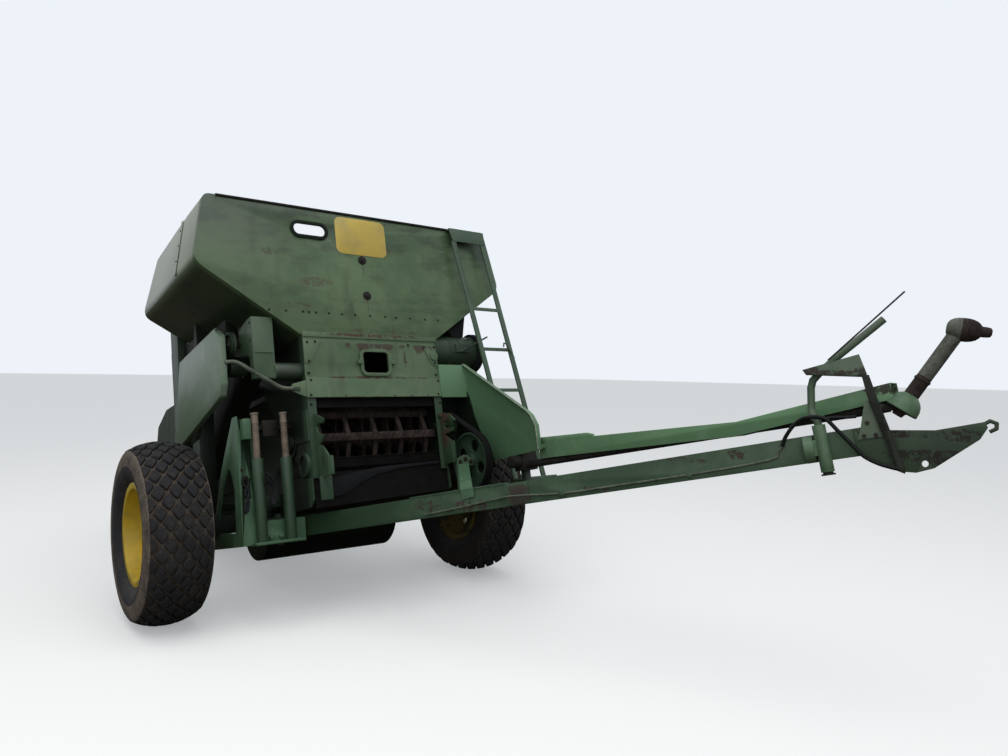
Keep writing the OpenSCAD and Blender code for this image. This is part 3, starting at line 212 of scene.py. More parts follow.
# %% [markdown]
# The green is one paint in several states. The tank has gone olive and is mottled where wet grain
# dust lay on it, the throat is chalked and pale, and the tongue and the lift cylinders keep more of
# their colour. So one recipe takes a fresh and a faded colour, how far it is worn, and a list of
# places where rust has broken through.

# %% Worn paint
RUST = (74, 50, 40)
GRIME = (34, 38, 31)
BARE_SCUFF = (104, 100, 84)


def worn_paint(name, fresh, faded, wear, grime, chips, gloss=0.5, patches=(), rust=RUST, soil=GRIME,
               roughness=0.5, cover=0.9):
    """Wear, grime and chips go from 0 to about 1. A patch is a place, its reach and its strength."""
    paint = Finish(name)
    paint.set("Specular IOR Level", gloss)
    broad = paint.noise(1.6, 4.0)
    mottled = paint.noise(9.0, 6.0, rough=0.6)
    runs = paint.noise(7.0, 4.0, stretch=(1.0, 1.0, 0.12))
    specks = paint.noise(38.0, 5.0, rough=0.7)
    fade = paint.rise(broad * 0.6 + mottled * 0.4, 0.62 - 0.3 * wear, 0.72 - 0.2 * wear)
    skin = paint.blend(fade, fresh, faded)
    scuffs = paint.rise(mottled * specks, 0.40 - 0.06 * wear, 0.50 - 0.04 * wear)
    skin = paint.blend(scuffs * 0.35, skin, BARE_SCUFF)
    dirt = paint.rise(runs * 0.7 + broad * 0.3, 0.62 - 0.14 * grime, 0.80 - 0.10 * grime)
    skin = paint.blend(dirt * (0.35 + 0.4 * grime), skin, soil)
    bare = paint.rise(specks * 0.55 + mottled * 0.45, 0.70 - 0.07 * chips, 0.74 - 0.06 * chips)
    ragged = (mottled - 0.5) * 1.5 + (specks - 0.5) * 3.6
    for centre, size, strength in patches:
        bare = bare | paint.rise(paint.near(centre, size) * (strength + ragged), 0.22, 0.70)
    shades = paint.blend(paint.rise(specks, 0.4, 0.62), tuple(part * 0.72 for part in rust), rust)
    skin = paint.blend(bare * cover, skin, shades)
    paint.skin = skin
    paint.set("Base Color", skin)
    paint.set("Roughness", roughness + bare * 0.3 + dirt * 0.15)
    paint.bump(mottled * 0.6 + bare * -0.6 + broad * 3.0, 0.25, 0.003)
    return paint


def level_patches(y, deep, *rows):
    """Rust patches on a sheet that faces forwards: x, z, half width, half height, strength."""
    return [(stand(x, y, z), (wide, deep, tall), strength) for x, z, wide, tall, strength in rows]


def plain_paint(name, *how, **more):
    return worn_paint(name + "_paint", *how, **more).material


tank = worn_paint(
    "tank_paint", (79, 104, 71), (94, 116, 82), 0.75, 0.6, 0.05, 0.4, roughness=0.36,
    rust=(92, 70, 60), cover=0.55, patches=level_patches(
        -0.73, 0.2, (-0.735, 2.449, 0.10, 0.045, 0.46), (-0.302, 2.507, 0.06, 0.045, 0.46),
        (-0.417, 2.251, 0.19, 0.055, 0.52), (0.215, 2.560, 0.06, 0.045, 0.52),
        (-0.545, 2.069, 0.17, 0.035, 0.42), (-0.15, 2.13, 0.30, 0.020, 0.36),
        (0.02, 1.90, 0.62, 0.025, 0.42)))
# Painted shade: the tank darkens towards its top; the dark streaks are stains, but grow with height as that
# shade.
high = tank.past(UP, 2.30, 2.82)
sweeps = tank.noise(3.2, 5.0, stretch=(1.0, 1.0, 2.6), rough=0.65)
streaks_and_top_shade = tank.rise(sweeps + high * 0.06, 0.50, 0.66)
skin = tank.blend(streaks_and_top_shade * (high * 0.45 + 0.28), tank.skin, (36, 50, 36))
skin = tank.blend(high * 0.46, skin, (40, 56, 38))
# Painted shade: the front sheet darkens towards the machine's right end, more so high up.
corner = tank.past(RIGHT, 0.25, 0.95)
skin = tank.blend(corner * (0.25 + high * 0.35), skin, (36, 49, 35))
# Painted shade under the tank: below the fold and behind the front sheet it goes near black.
behind_front = tank.past(BACK, -0.70, -0.66)
above_fold = tank.past(UP, 2.28, 2.40)
outer = tank.past(RIGHT, 1.14, 1.165) * behind_front * above_fold
skin = tank.blend(behind_front * (1 - above_fold) * 0.6, skin, (18, 23, 17))
# Painted sheen: the outer side sheet above the fold is painted pale, more so towards the top.
tank.set("Base Color", tank.blend(outer * (high * 0.35 + 0.52), skin, (150, 157, 136)))
tank_paint = tank.material
head = worn_paint("head_paint", (52, 74, 50), (62, 82, 58), 0.5, 0.4, 0.3)
# Painted shade: the head goes near black low down and behind its front, and partly on the duct.
shaded = 1 - head.past(UP, 1.46, 1.58) * head.past(FRONT, 0.40, 0.44)
duct_shade = head.past(LEFT, -0.745, -0.735) * 0.62
head.set("Base Color", head.blend(shaded * 0.8 | duct_shade, head.skin, (13, 17, 12)))
head_paint = head.material
throat = worn_paint(
    "throat_paint", (74, 98, 68), (86, 106, 78), 0.7, 0.6, 0.5, 0.4, rust=(74, 46, 38),
    patches=level_patches(
        -0.745, 0.1, (0.262, 1.70, 0.018, 0.10, 0.62), (0.0, 1.865, 0.7, 0.020, 0.55),
        (0.0, 1.545, 0.7, 0.012, 0.5), (-0.10, 1.385, 0.7, 0.035, 0.5)))
below_seam = throat.past(UP, 1.73, 1.79) * (1 - throat.past(UP, 1.80, 1.81))
drips = throat.noise(11.0, 5.0, stretch=(1.0, 1.0, 0.2), rough=0.7)
streaks = throat.rise(drips + below_seam * 0.17, 0.64, 0.72) * throat.past(LEFT, -0.50, -0.36)
throat.set("Base Color", throat.blend(streaks * 0.85, throat.skin, (58, 38, 32)))
throat_paint = throat.material
frame_paint = plain_paint("frame", (64, 93, 68), (78, 108, 80), 0.45, 0.65, 0.6, 0.35)
ladder_paint = plain_paint("ladder", (60, 82, 62), (76, 94, 76), 0.6, 0.2, 0.5)
body_paint = plain_paint("body", (38, 54, 38), (50, 66, 48), 0.4, 0.8, 0.5, 0.35)
# The near black inner paint is painted shade on insides, the axle, the tank posts and the fan housing;
# its rust and soil are real.
inner_shade_paint = plain_paint("inner", (18, 25, 18), (26, 34, 26), 0.4, 0.9, 0.6, 0.15, rust=(34, 27, 23),
                          soil=(14, 14, 12))
barrel_paint = plain_paint("barrel", (44, 65, 46), (58, 80, 60), 0.3, 0.6, 0.5, 0.35)
side = worn_paint("side_paint", (38, 54, 38), (50, 66, 48), 0.4, 0.8, 0.5, 0.35)
# Painted shade darkens the side sheets forward of 0.8 m back, under the shields; ahead of -0.70 m a
# painted highlight lightens them.
skin = side.blend((1 - side.past(BACK, 0.80, 1.30)) * 0.85, side.skin, (19, 26, 19))
side.set("Base Color", side.blend((1 - side.past(BACK, -0.70, -0.64)) * 0.75, skin, (58, 80, 60)))
side_paint = side.material
# The sheave's darker green is painted shade, for the shadow it stands in; its rust and grime are real.
sheave_shade_paint = plain_paint("sheave", (42, 62, 45), (54, 76, 56), 0.45, 0.9, 1.0, 0.3)
hook_paint = plain_paint("hook", (48, 70, 50), (60, 84, 62), 0.45, 0.8, 0.9, 0.3,
                         level_patches(-0.76, 0.2, (0.56, 1.15, 0.16, 0.26, 0.62)))
# The left shield's lighter green is painted light, for the sky light on its face.
left_lit_paint = plain_paint("left", (90, 124, 92), (100, 134, 101), 0.3, 0.35, 0.15, 0.35)
shield_paint = plain_paint("shield", (96, 118, 94), (116, 132, 116), 0.6, 0.12, 0.12, roughness=0.4)
print("paints:", ", ".join(m.name for m in bpy.data.materials if m.name.endswith("_paint")))

# %% [markdown]
# The tongue lies lower and has been scraped by chains, hoses and boots, so its rust sits in clear
# patches round the splice and the hitch. Bare iron, such as the threshing cylinder and the lift rods,
# has an even brown skin with darker pits.

# %% Tongue paint, rust and steel
TONGUE_TURN = math.radians(25)
TONGUE_RISE = math.radians(0.9)
TONGUE_PIVOT = Vector((-0.590, -0.165, 0.535))
ALONG_TONGUE = Matrix.Rotation(TONGUE_TURN, 3, "Z") @ Matrix.Rotation(-TONGUE_RISE, 3, "X")


def on_tongue(x, y, z):
    """A place on the tongue, in metres from its pivot, where it stands."""
    return stand(*(TONGUE_PIVOT + ALONG_TONGUE @ Vector((x, y, z))))


def tongue_patches(x, *rows):
    """Rust patches on the tongue: y, z, half length, half height, strength."""
    return [(on_tongue(x, y, z), (far, far, tall), strength) for y, z, far, tall, strength in rows]


tongue_paint = plain_paint(
    "tongue", (44, 68, 46), (60, 84, 60), 0.5, 0.5, 0.9, 0.4, rust=(58, 45, 40), patches=tongue_patches(
        -0.06, (-1.33, 0.0, 0.16, 0.06, 0.45), (-1.60, -0.03, 0.13, 0.05, 0.55),
        (-1.73, -0.04, 0.09, 0.04, 0.42), (-1.99, -0.01, 0.12, 0.10, 0.85),
        (-2.55, -0.06, 0.30, 0.02, 0.4), (-2.95, 0.06, 0.32, 0.022, 0.5), (-3.30, 0.03, 0.08, 0.05, 0.5)))
jack_paint = plain_paint("jack", (66, 94, 66), (86, 112, 85), 0.5, 0.45, 0.7, 0.4)
# The channel's paler green is painted light, which makes up for the shade on its sideways face.
channel_lit_paint = plain_paint("channel", (100, 138, 100), (118, 152, 116), 0.5, 0.45, 0.7, 0.4,
                            tongue_patches(0.0, (-4.05, 0.245, 0.13, 0.05, 0.75)), (44, 34, 30))
nose_paint = plain_paint(
    "nose", (44, 60, 43), (56, 72, 53), 0.6, 0.9, 0.9, 0.3, rust=(40, 33, 30), patches=tongue_patches(
        0.0, (-4.05, 0.02, 0.40, 0.03, 0.45), (-4.34, -0.04, 0.20, 0.05, 0.45),
        (-4.25, -0.13, 0.40, 0.05, 0.6)))
plate_paint = plain_paint(
    "plate", (62, 82, 60), (82, 96, 76), 0.7, 0.4, 1.1, 0.4, rust=(50, 38, 34), patches=tongue_patches(
        -0.06, (-3.72, 0.40, 0.10, 0.05, 0.7), (-3.98, 0.33, 0.07, 0.05, 0.75),
        (-3.85, 0.36, 0.20, 0.02, 0.6)))


def iron(name, light, dark, roughness=0.85, metallic=0.15, gloss=0.2):
    metal = Finish(name + "_iron", roughness, metallic)
    metal.set("Specular IOR Level", gloss)
    blotches = metal.noise(12.0, 6.0, rough=0.65)
    pits = metal.noise(70.0, 3.0)
    share = metal.rise(blotches * 0.7 + pits * 0.3, 0.35, 0.62)
    metal.set("Base Color", metal.blend(share, dark, light))
    metal.bump(blotches + pits * 0.4, 0.3, 0.0015)
    return metal.material


rust_iron = iron("rust", (66, 56, 51), (27, 22, 20))
rod_iron = iron("rod", (136, 124, 110), (104, 92, 80), roughness=0.6)
shaft_iron = iron("shaft", (98, 102, 92), (66, 64, 57), roughness=0.7)
joint_iron = iron("joint", (60, 50, 46), (34, 28, 26))
dark_iron = iron("dark", (46, 44, 41), (26, 25, 23), roughness=0.65, metallic=0.3)
strap_iron = iron("strap", (44, 48, 40), (26, 26, 23), roughness=0.7)
trap_iron = iron("trap", (20, 21, 18), (11, 11, 10), roughness=0.85, gloss=0.1)
edge_iron = iron("edge", (150, 156, 142), (104, 116, 100), roughness=0.6)
loose_iron = iron("loose", (98, 82, 72), (74, 60, 52), roughness=0.7)
bolt_iron = iron("bolt", (52, 46, 40), (28, 26, 23), roughness=0.6, metallic=0.3)
pipe_iron = iron("pipe", (102, 108, 94), (68, 76, 64), roughness=0.5)
print("metals:", ", ".join(m.name for m in bpy.data.materials if m.name.endswith("_iron")))

# %% [markdown]
# Rubber comes in four states here: the tyre's blocks are dark with worn grey tops, brown soil lies in
# their grooves and on the plain shoulder, the side walls are bluish black, and belts and hoses are
# matt black. The wheel's yellow is still bright where it is deep inside the rim.

# %% Rubber and yellow paint
def rubber(name, base, dust, dusty, roughness=0.85, shaded=None):
    """Rubber with dust on it. A shaded colour takes over on what faces the machine's middle."""
    skin = Finish(name + "_rubber", roughness)
    skin.set("Specular IOR Level", 0.15)
    clouds = skin.noise(6.0, 5.0, rough=0.6)
    grains = skin.noise(55.0, 4.0)
    share = skin.rise(clouds * 0.6 + grains * 0.4, 0.62 - 0.35 * dusty, 0.85 - 0.3 * dusty)
    mixed = skin.blend(share, base, dust)
    if shaded:
        inner = skin.past(LEFT, -1.17, -1.13) * skin.past(RIGHT, -1.30, -1.26)
        mixed = skin.blend(inner * 0.85, mixed, shaded)
    skin.set("Base Color", mixed)
    skin.bump(grains, 0.3, 0.001)
    return skin.material


block_rubber = rubber("block", (42, 42, 44), (66, 62, 57), 0.5)
groove_rubber = rubber("groove", (58, 52, 46), (82, 74, 65), 0.9)
wall_rubber = rubber("wall", (44, 45, 48), (72, 65, 57), 0.5, roughness=0.65)
shoulder_rubber = rubber("shoulder", (70, 65, 59), (116, 106, 95), 0.85, shaded=(34, 32, 30))
hose_rubber = rubber("hose", (20, 21, 22), (46, 44, 41), 0.2, roughness=0.5)
belt_rubber = rubber("belt", (12, 12, 13), (30, 28, 26), 0.35)
flap_rubber = rubber("flap", (25, 26, 29), (42, 42, 44), 0.3)
bead_rubber = rubber("bead", (26, 34, 26), (44, 52, 42), 0.4)


def yellow(name, bright, dull, dirt, low):
    paint = Finish(name + "_yellow", 0.5)
    clouds = paint.noise(5.0, 5.0, rough=0.6)
    specks = paint.noise(40.0, 5.0, rough=0.7)
    skin = paint.blend(paint.rise(clouds, 0.4, 0.65), bright, dull)
    soil = paint.rise(clouds * 0.5 + specks * 0.5, low, low + 0.12)
    paint.set("Base Color", paint.blend(soil * 0.7, skin, dirt))
    paint.set("Roughness", 0.45 + soil * 0.4)
    paint.bump(specks, 0.1, 0.001)
    return paint.material


rim_yellow = yellow("rim", (206, 174, 42), (180, 154, 56), (104, 80, 46), 0.64)
# The far rim's darker yellow is painted shade; its heavier soil is real dirt.
far_shaded_yellow = yellow("far", (104, 92, 44), (74, 66, 40), (44, 38, 30), 0.48)
badge_yellow = yellow("badge", (192, 168, 74), (176, 156, 82), (112, 98, 56), 0.64)
print("%d materials" % len(bpy.data.materials))

# %% [markdown]
# The construction model's sheets and bars meet in knife edges, and real ones never do: folded sheet
# has a small radius and a bar has a worn arris, and it is that thin line of light that tells the
# eye how big a thing is. So each node gets a copy whose loose triangles are merged, whose flat faces
# are joined, and whose sharp edges are rounded a little. The copy stands for the node, which stays as
# it is for the motion model.

# %% Rounded copies of the construction nodes
SMALL_STEP = 1e-5
FLAT = math.radians(0.4)
SHARP = math.radians(38)


def added(name, data):
    """A new object in the scene."""
    thing = bpy.data.objects.new(name, data)
    bpy.context.scene.collection.objects.link(thing)
    return thing


def plain(piece, name):
    """A piece with its modifiers turned into an ordinary mesh under a new name."""
    graph = bpy.context.evaluated_depsgraph_get()
    mesh = bpy.data.meshes.new_from_object(piece.evaluated_get(graph))
    for old in list(piece.modifiers):
        piece.modifiers.remove(old)
    bpy.data.objects.remove(piece)
    mesh.name = name
    return added(name, mesh)


def body_of(node):
    return next(body for body, names in record["behaviour"]["bodies"].items() if node in names)


# The record's first slot is passed for each copy of a node, but settle does not use it.
# A node's own slot stands in record["subparts"].
FIRST_SLOT = record["materials"][0]["slot"]


def settle(piece, body, slot_name, angle=32):
    """Smooth faces between sharp edges and the body that carries the piece. slot_name is not used."""
    piece.data.shade_smooth()
    piece.data.set_sharp_from_angle(angle=math.radians(angle))
    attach(piece, body)
    return piece


def rounded_copy(node, finish, width):
    mesh = frame["nodes"][node].data.copy()
    work = bmesh.new()
    work.from_mesh(mesh)
    bmesh.ops.remove_doubles(work, verts=work.verts, dist=SMALL_STEP)
    bmesh.ops.dissolve_limit(work, angle_limit=FLAT, verts=work.verts, edges=work.edges)
    work.to_mesh(mesh)
    work.free()
    mesh.materials.clear()
    mesh.materials.append(finish)
    piece = added(node + "_shape", mesh)
    if width:
        bevel = piece.modifiers.new("rounding", "BEVEL")
        bevel.width = width
        bevel.segments = 2
        bevel.limit_method = "ANGLE"
        bevel.angle_limit = SHARP
        piece = plain(piece, node + "_finished")
    settle(piece, body_of(node), FIRST_SLOT)
    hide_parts(node)
    return piece


# Finish, width of the rounding in metres, nodes
DRESS = [
    (tank_paint, 0.004, "grain_tank"), (head_paint, 0.003, "elevator_head"),
    (throat_paint, 0.002, "throat_plates throat_window"), (frame_paint, 0.002, "front_frame"),
    (body_paint, 0.002, "main_frame rear_door unloading_auger auger_elbow right_drive grain_elevator"),
    (body_paint, 0.003, "hood"), (side_paint, 0.0, "side_right side_left"), (inner_shade_paint, 0.003, "axle"),
    (inner_shade_paint, 0.002, "tank_posts fan_housing"), (ladder_paint, 0.0015, "ladder"),
    (plate_paint, 0.0015, "hitch_tower hose_stand"), (hook_paint, 0.0015, "feeder_hooks"),
    (left_lit_paint, 0.002, "shield_left"), (shield_paint, 0.002, "shield_right"),
    (barrel_paint, 0.0015, "lift_barrels"), (barrel_paint, 0.002, "drive_pulley"),
    (sheave_shade_paint, 0.002, "drive_sheave"), (tongue_paint, 0.003, "tongue"),
    (nose_paint, 0.002, "hitch_nose"), (channel_lit_paint, 0.0015, "pto_channel"),
    (jack_paint, 0.0015, "jack_tube"), (rod_iron, 0.001, "lift_rod_outer lift_rod_inner"),
    (dark_iron, 0.0015, "pto_line"), (dark_iron, 0.001, "jackshaft jack_leg"),
    (dark_iron, 0.002, "underpan"), (rust_iron, 0.0015, "threshing_cylinder"),
    (rust_iron, 0.001, "concave"), (rust_iron, 0.0, "separator_mass"), (trap_iron, 0.002, "stone_trap"),
    (strap_iron, 0.0015, "hitch_strap"), (rim_yellow, 0.002, "rim_right"), (far_shaded_yellow, 0.002, "rim_left"),
    (badge_yellow, 0.001, "maker_plate"), (bead_rubber, 0.003, "tank_window"),
    (flap_rubber, 0.0015, "tail_curtain"), (flap_rubber, 0.002, "throat_flap"),
    (flap_rubber, 0.003, "outlet_boot"), (belt_rubber, 0.003, "drive_belt")]
dressed = [rounded_copy(node, finish, width) for finish, width, nodes in DRESS for node in nodes.split()]
print("%d nodes dressed, %d faces" % (len(dressed), sum(len(piece.data.polygons) for piece in dressed)))

# %% [markdown]
# A geometry tree is a recipe with named sizes. A small class keeps the writing short: it opens a tree
# with its inputs, adds nodes in the way the materials do, ends in Realize Instances and Set Material,
# and turns the result into a plain mesh. Three recipes make all that repeats here: copies round
# an axle, bolts on a sheet, and bars or pipes along a path.

# %% Geometry trees with named inputs
class Recipe:
    """A geometry node tree. It is made with the name and socket kind of each input."""

    def __init__(self, name, **kinds):
        self.tree = bpy.data.node_groups.new(name, "GeometryNodeTree")
        self.tree.interface.new_socket("Geometry", in_out="INPUT", socket_type="NodeSocketGeometry")
        self.tree.interface.new_socket("Geometry", in_out="OUTPUT", socket_type="NodeSocketGeometry")
        for title, kind in kinds.items():
            self.tree.interface.new_socket(title, in_out="INPUT", socket_type="NodeSocket" + kind)
        self.given = self.tree.nodes.new("NodeGroupInput")
        self.out = self.tree.nodes.new("NodeGroupOutput")

    def input(self, title):
        return Wire(self.tree, self.given.outputs[title])

    add = Finish.add

    def named(self, kind, title):
        """The values that the points or faces carry under a name."""
        return self.add("GeometryNodeInputNamedAttribute", {"data_type": kind}, {"Name": title})

    def end(self, geometry, *finishes):
        """The last nodes: faces with the number n in the attribute zone take the nth finish."""
        made = self.add("GeometryNodeRealizeInstances", None, {"Geometry": geometry})
        zone = self.named("INT", "zone")
        for number, finish in enumerate(finishes):
            chosen = self.add("FunctionNodeCompare", {"data_type": "INT", "operation": "GREATER_EQUAL"},
                              {2: zone, 3: number})
            made = self.add("GeometryNodeSetMaterial", None,
                            {"Geometry": made, "Selection": chosen, "Material": finish})
        self.tree.links.new(made.socket, self.out.inputs[0])
        return self

    def make(self, name, base, body, slot_name, angle=32, **values):
        """Runs the recipe on a base mesh and gives the plain piece, riding on its body."""
        seed = added(name + "_seed", base)
        step = seed.modifiers.new("recipe", "NODES")
        step.node_group = self.tree
        for item in self.tree.interface.items_tree:
            if item.in_out == "INPUT" and item.name in values:
                step[item.identifier] = values[item.name]
        bpy.context.view_layer.update()
        return settle(plain(seed, name), body, slot_name, angle)


def dots(name, places, **layers):
    """A mesh of loose points with named values on them."""
    mesh = bpy.data.meshes.new(name)
    mesh.from_pydata([tuple(place) for place in places], [], [])
    for title, rows in layers.items():
        vector = isinstance(rows[0], (tuple, Vector))
        layer = mesh.attributes.new(title, "FLOAT_VECTOR" if vector else "FLOAT", "POINT")
        for item, row in zip(layer.data, rows):
            if vector:
                item.vector = tuple(row)
            else:
                item.value = row
    return mesh


print("recipe class ready")

# %% [markdown]
# A flotation tyre is moulded as one slice repeated round the wheel: six staggered lozenge blocks over
# a rounded crown, and half a block at each shoulder. So one slice is modelled, with its piece of side
# wall and groove floor, and the first recipe copies it round the axle and merges the joins. Block
# tops, groove floors, shoulders and side walls carry a number, and the recipe gives each its rubber.

# %% One slice of tread
SLICES, ROUND_STEPS = 28, 6
PITCH = 2 * math.pi / SLICES
# The carcass in millimetres, from the bead over the shoulder to the crown: way out, radius
CARCASS = metres(
    (155, 315.5), (155, 346), (166, 356), (182, 372), (198.5, 402), (206.5, 432), (209.5, 458),
    (209.5, 498), (207, 520), (203, 537), (198.5, 549), (193.5, 557.5), (189.5, 559), (186, 553),
    (160, 564), (130, 574), (95, 584), (50, 592.5), (0, 595))
SHOULDER_FROM, FLOOR_FROM = 6, 13
BLOCK_EDGE = 0.1875
COLUMNS, COLUMN_STEP = 8, 0.052
LOZENGE_LONG, LOZENGE_WIDE = 0.0555, 0.0375
HALF_LOZENGE = [(0.97, 0.0), (0.86, 0.19), (0.52, 0.55), (0.18, 0.88), (0.0, 0.97), (-0.18, 0.88),
                (-0.52, 0.55), (-0.86, 0.19)]
LOZENGE = HALF_LOZENGE + [(-along, -across) for along, across in HALF_LOZENGE]
# Rings of a block from its foot to its top: size, depth below the crown
BLOCK_RINGS = ((1.05, 0.024), (1.0, 0.007), (0.93, 0.0015), (0.78, 0.0), (0.40, -0.0004))
CROWN_DROP, CROWN_HALF, CROWN_BEND = 0.038, 0.165, 2.2


def crown_radius(v):
    return WHEEL_R - CROWN_DROP * (abs(v) / CROWN_HALF) ** CROWN_BEND


def round_axle(v, radius, angle):
    return v, -radius * math.sin(angle), radius * math.cos(angle)


def away_from_axle(face, faces, work):
    """Turns the faces round if the one that is named looks at the axle."""
    face.normal_update()
    if face.normal.dot(face.calc_center_median() * Vector((0, 1, 1))) < 0:
        bmesh.ops.reverse_faces(work, faces=faces)


def slice_of_tyre():
    work = bmesh.new()
    zone = work.faces.layers.int.new("zone")
    half = [(v, r, n) for n, (v, r) in enumerate(CARCASS)]
    section = half + [(-v, r, n) for v, r, n in reversed(half[:-1])]
    rows = [[work.verts.new(round_axle(v, r, PITCH * step / ROUND_STEPS)) for v, r, _ in section]
            for step in range(ROUND_STEPS + 1)]
    shell = []
    for row, after in zip(rows, rows[1:]):
        for k in range(len(section) - 1):
            face = work.faces.new((row[k], row[k + 1], after[k + 1], after[k]))
            low = min(section[k][2], section[k + 1][2])
            face[zone] = 1 if low >= FLOOR_FROM else 2 if low >= SHOULDER_FROM else 3
            shell.append(face)
    # Lozenge blocks: long corners run round the wheel, short ones across it
    for column in range(COLUMNS):
        v0 = (column - (COLUMNS - 1) / 2) * COLUMN_STEP
        turn_to = PITCH * (0.25 if column % 2 else 0.75)
        rings = []
        for grow, down in BLOCK_RINGS:
            ring = []
            for along, across in LOZENGE:
                v = max(-BLOCK_EDGE, min(BLOCK_EDGE, v0 + across * LOZENGE_WIDE * grow))
                angle = turn_to + along * LOZENGE_LONG * grow / WHEEL_R
                ring.append(work.verts.new(round_axle(v, crown_radius(v) - down, angle)))
            rings.append(ring)
        faces = []
        for low, high in zip(rings, rings[1:]):
            for k in range(len(LOZENGE)):
                j = (k + 1) % len(LOZENGE)
                faces.append(work.faces.new((low[k], low[j], high[j], high[k])))
        top = work.faces.new(rings[-1])
        faces += [top, work.faces.new(rings[0][::-1])]
        away_from_axle(top, faces, work)
    away_from_axle(shell[len(CARCASS) - 1], shell, work)
    mesh = bpy.data.meshes.new("tyre_slice")
    work.to_mesh(mesh)
    work.free()
    return added("tyre_slice", mesh)


tyre_slice = slice_of_tyre()
print("one slice has %d faces" % len(tyre_slice.data.polygons))

# %% [markdown]
# The recipe itself: a line of points that all lie on the axle, one copy of the slice on each, and each
# copy turned a little further. The wheels have the same tyre, so the recipe runs twice, with
# another centre. The inner side of the bead is closed by the rim, so the carcass may stay open there.

# %% Copies round an axle
def round_recipe(*finishes):
    recipe = Recipe("copies_round_an_axle", Piece="Object", Copies="Int", Centre="Vector")
    line = recipe.add("GeometryNodeMeshLine", None,
                      {"Count": recipe.input("Copies"), "Start Location": recipe.input("Centre"),
                       "Offset": (0.0, 0.0, 0.0)})
    shape = recipe.add("GeometryNodeObjectInfo", None, {"Object": recipe.input("Piece")}, "Geometry")
    share = recipe.add("GeometryNodeInputIndex").sum("DIVIDE", recipe.input("Copies")) * (2 * math.pi)
    spin = recipe.add("ShaderNodeCombineXYZ", None, {"X": share})
    copies = recipe.add("GeometryNodeInstanceOnPoints", None,
                        {"Points": line, "Instance": shape, "Rotation": spin})
    solid = recipe.add("GeometryNodeRealizeInstances", None, {"Geometry": copies})
    merged = recipe.add("GeometryNodeMergeByDistance", None, {"Geometry": solid, "Distance": 0.00005})
    return recipe.end(merged, *finishes)


def wheel_middle(side):
    low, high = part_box("tyre_" + side)
    return (Vector(low) + Vector(high)) / 2


tread_recipe = round_recipe(block_rubber, groove_rubber, shoulder_rubber, wall_rubber)
for side in ("right", "left"):
    middle = wheel_middle(side)
    tyre = tread_recipe.make("tyre_%s_moulded" % side, bpy.data.meshes.new("none"), "wheel_" + side,
                             "tyre", angle=40, Piece=tyre_slice, Copies=SLICES,
                             Centre=(middle.x, axle.y, WHEEL_R))
    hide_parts("tyre_" + side)
    print("tyre %s: %d faces" % (side, len(tyre.data.polygons)))
bpy.data.objects.remove(tyre_slice)

# %% [markdown]
# Sheet metal of this age is held by hundreds of small bolts. A bolt is a hexagonal head on a washer,
# a few dozen faces at most, and the second recipe puts one on each point of a list, facing the way
# that the sheet faces and turned by chance, because nobody lines up the flats of bolts.

# %% Bolts on a sheet
FULL_TURN = 6.28


def bolt_recipe(finish):
    recipe = Recipe("bolts_on_a_sheet", Seed="Int")
    head = recipe.add("GeometryNodeMeshCylinder", {"fill_type": "NGON"},
                      {"Vertices": 6, "Radius": 0.5, "Depth": 0.42}, "Mesh")
    head = recipe.add("GeometryNodeTransform", None, {"Geometry": head, "Translation": (0, 0, 0.25)})
    washer = recipe.add("GeometryNodeMeshCylinder", {"fill_type": "NGON"},
                        {"Vertices": 14, "Radius": 0.78, "Depth": 0.2}, "Mesh")
    bolt = recipe.tree.nodes.new("GeometryNodeJoinGeometry")
    for part in (head, washer):
        recipe.tree.links.new(part.socket, bolt.inputs[0])
    upright = recipe.add("FunctionNodeAlignRotationToVector", {"axis": "Z"},
                         {"Vector": recipe.named("FLOAT_VECTOR", "facing")})
    chance = recipe.add("FunctionNodeRandomValue", {"data_type": "FLOAT"},
                        {2: 0.0, 3: FULL_TURN, "Seed": recipe.input("Seed")}, 1)
    spin = recipe.add("ShaderNodeCombineXYZ", None, {"Z": chance})
    turned = recipe.add("FunctionNodeRotateRotation", {"rotation_space": "LOCAL"},
                        {"Rotation": upright, "Rotate By": spin})
    bolts = recipe.add("GeometryNodeInstanceOnPoints", None,
                       {"Points": recipe.input("Geometry"), "Instance": Wire(recipe.tree, bolt.outputs[0]),
                        "Rotation": turned, "Scale": recipe.named("FLOAT", "across")})
    return recipe.end(bolts, finish)


iron_bolts = bolt_recipe(bolt_iron)
painted_bolts = bolt_recipe(body_paint)


def bolt_set(name, places, way, across, recipe=iron_bolts, slot_name="green_paint", seed=3):
    """Bolts at level places, all facing one way; across is the size over the flats of each."""
    count = len(places)
    base = dots(name, standing(places), facing=[turn(way).normalized()] * count,
                across=across if isinstance(across, list) else [across] * count)
    print("%s: %d bolts" % (name, count))
    return recipe.make(name, base, "machine", slot_name, Seed=seed)


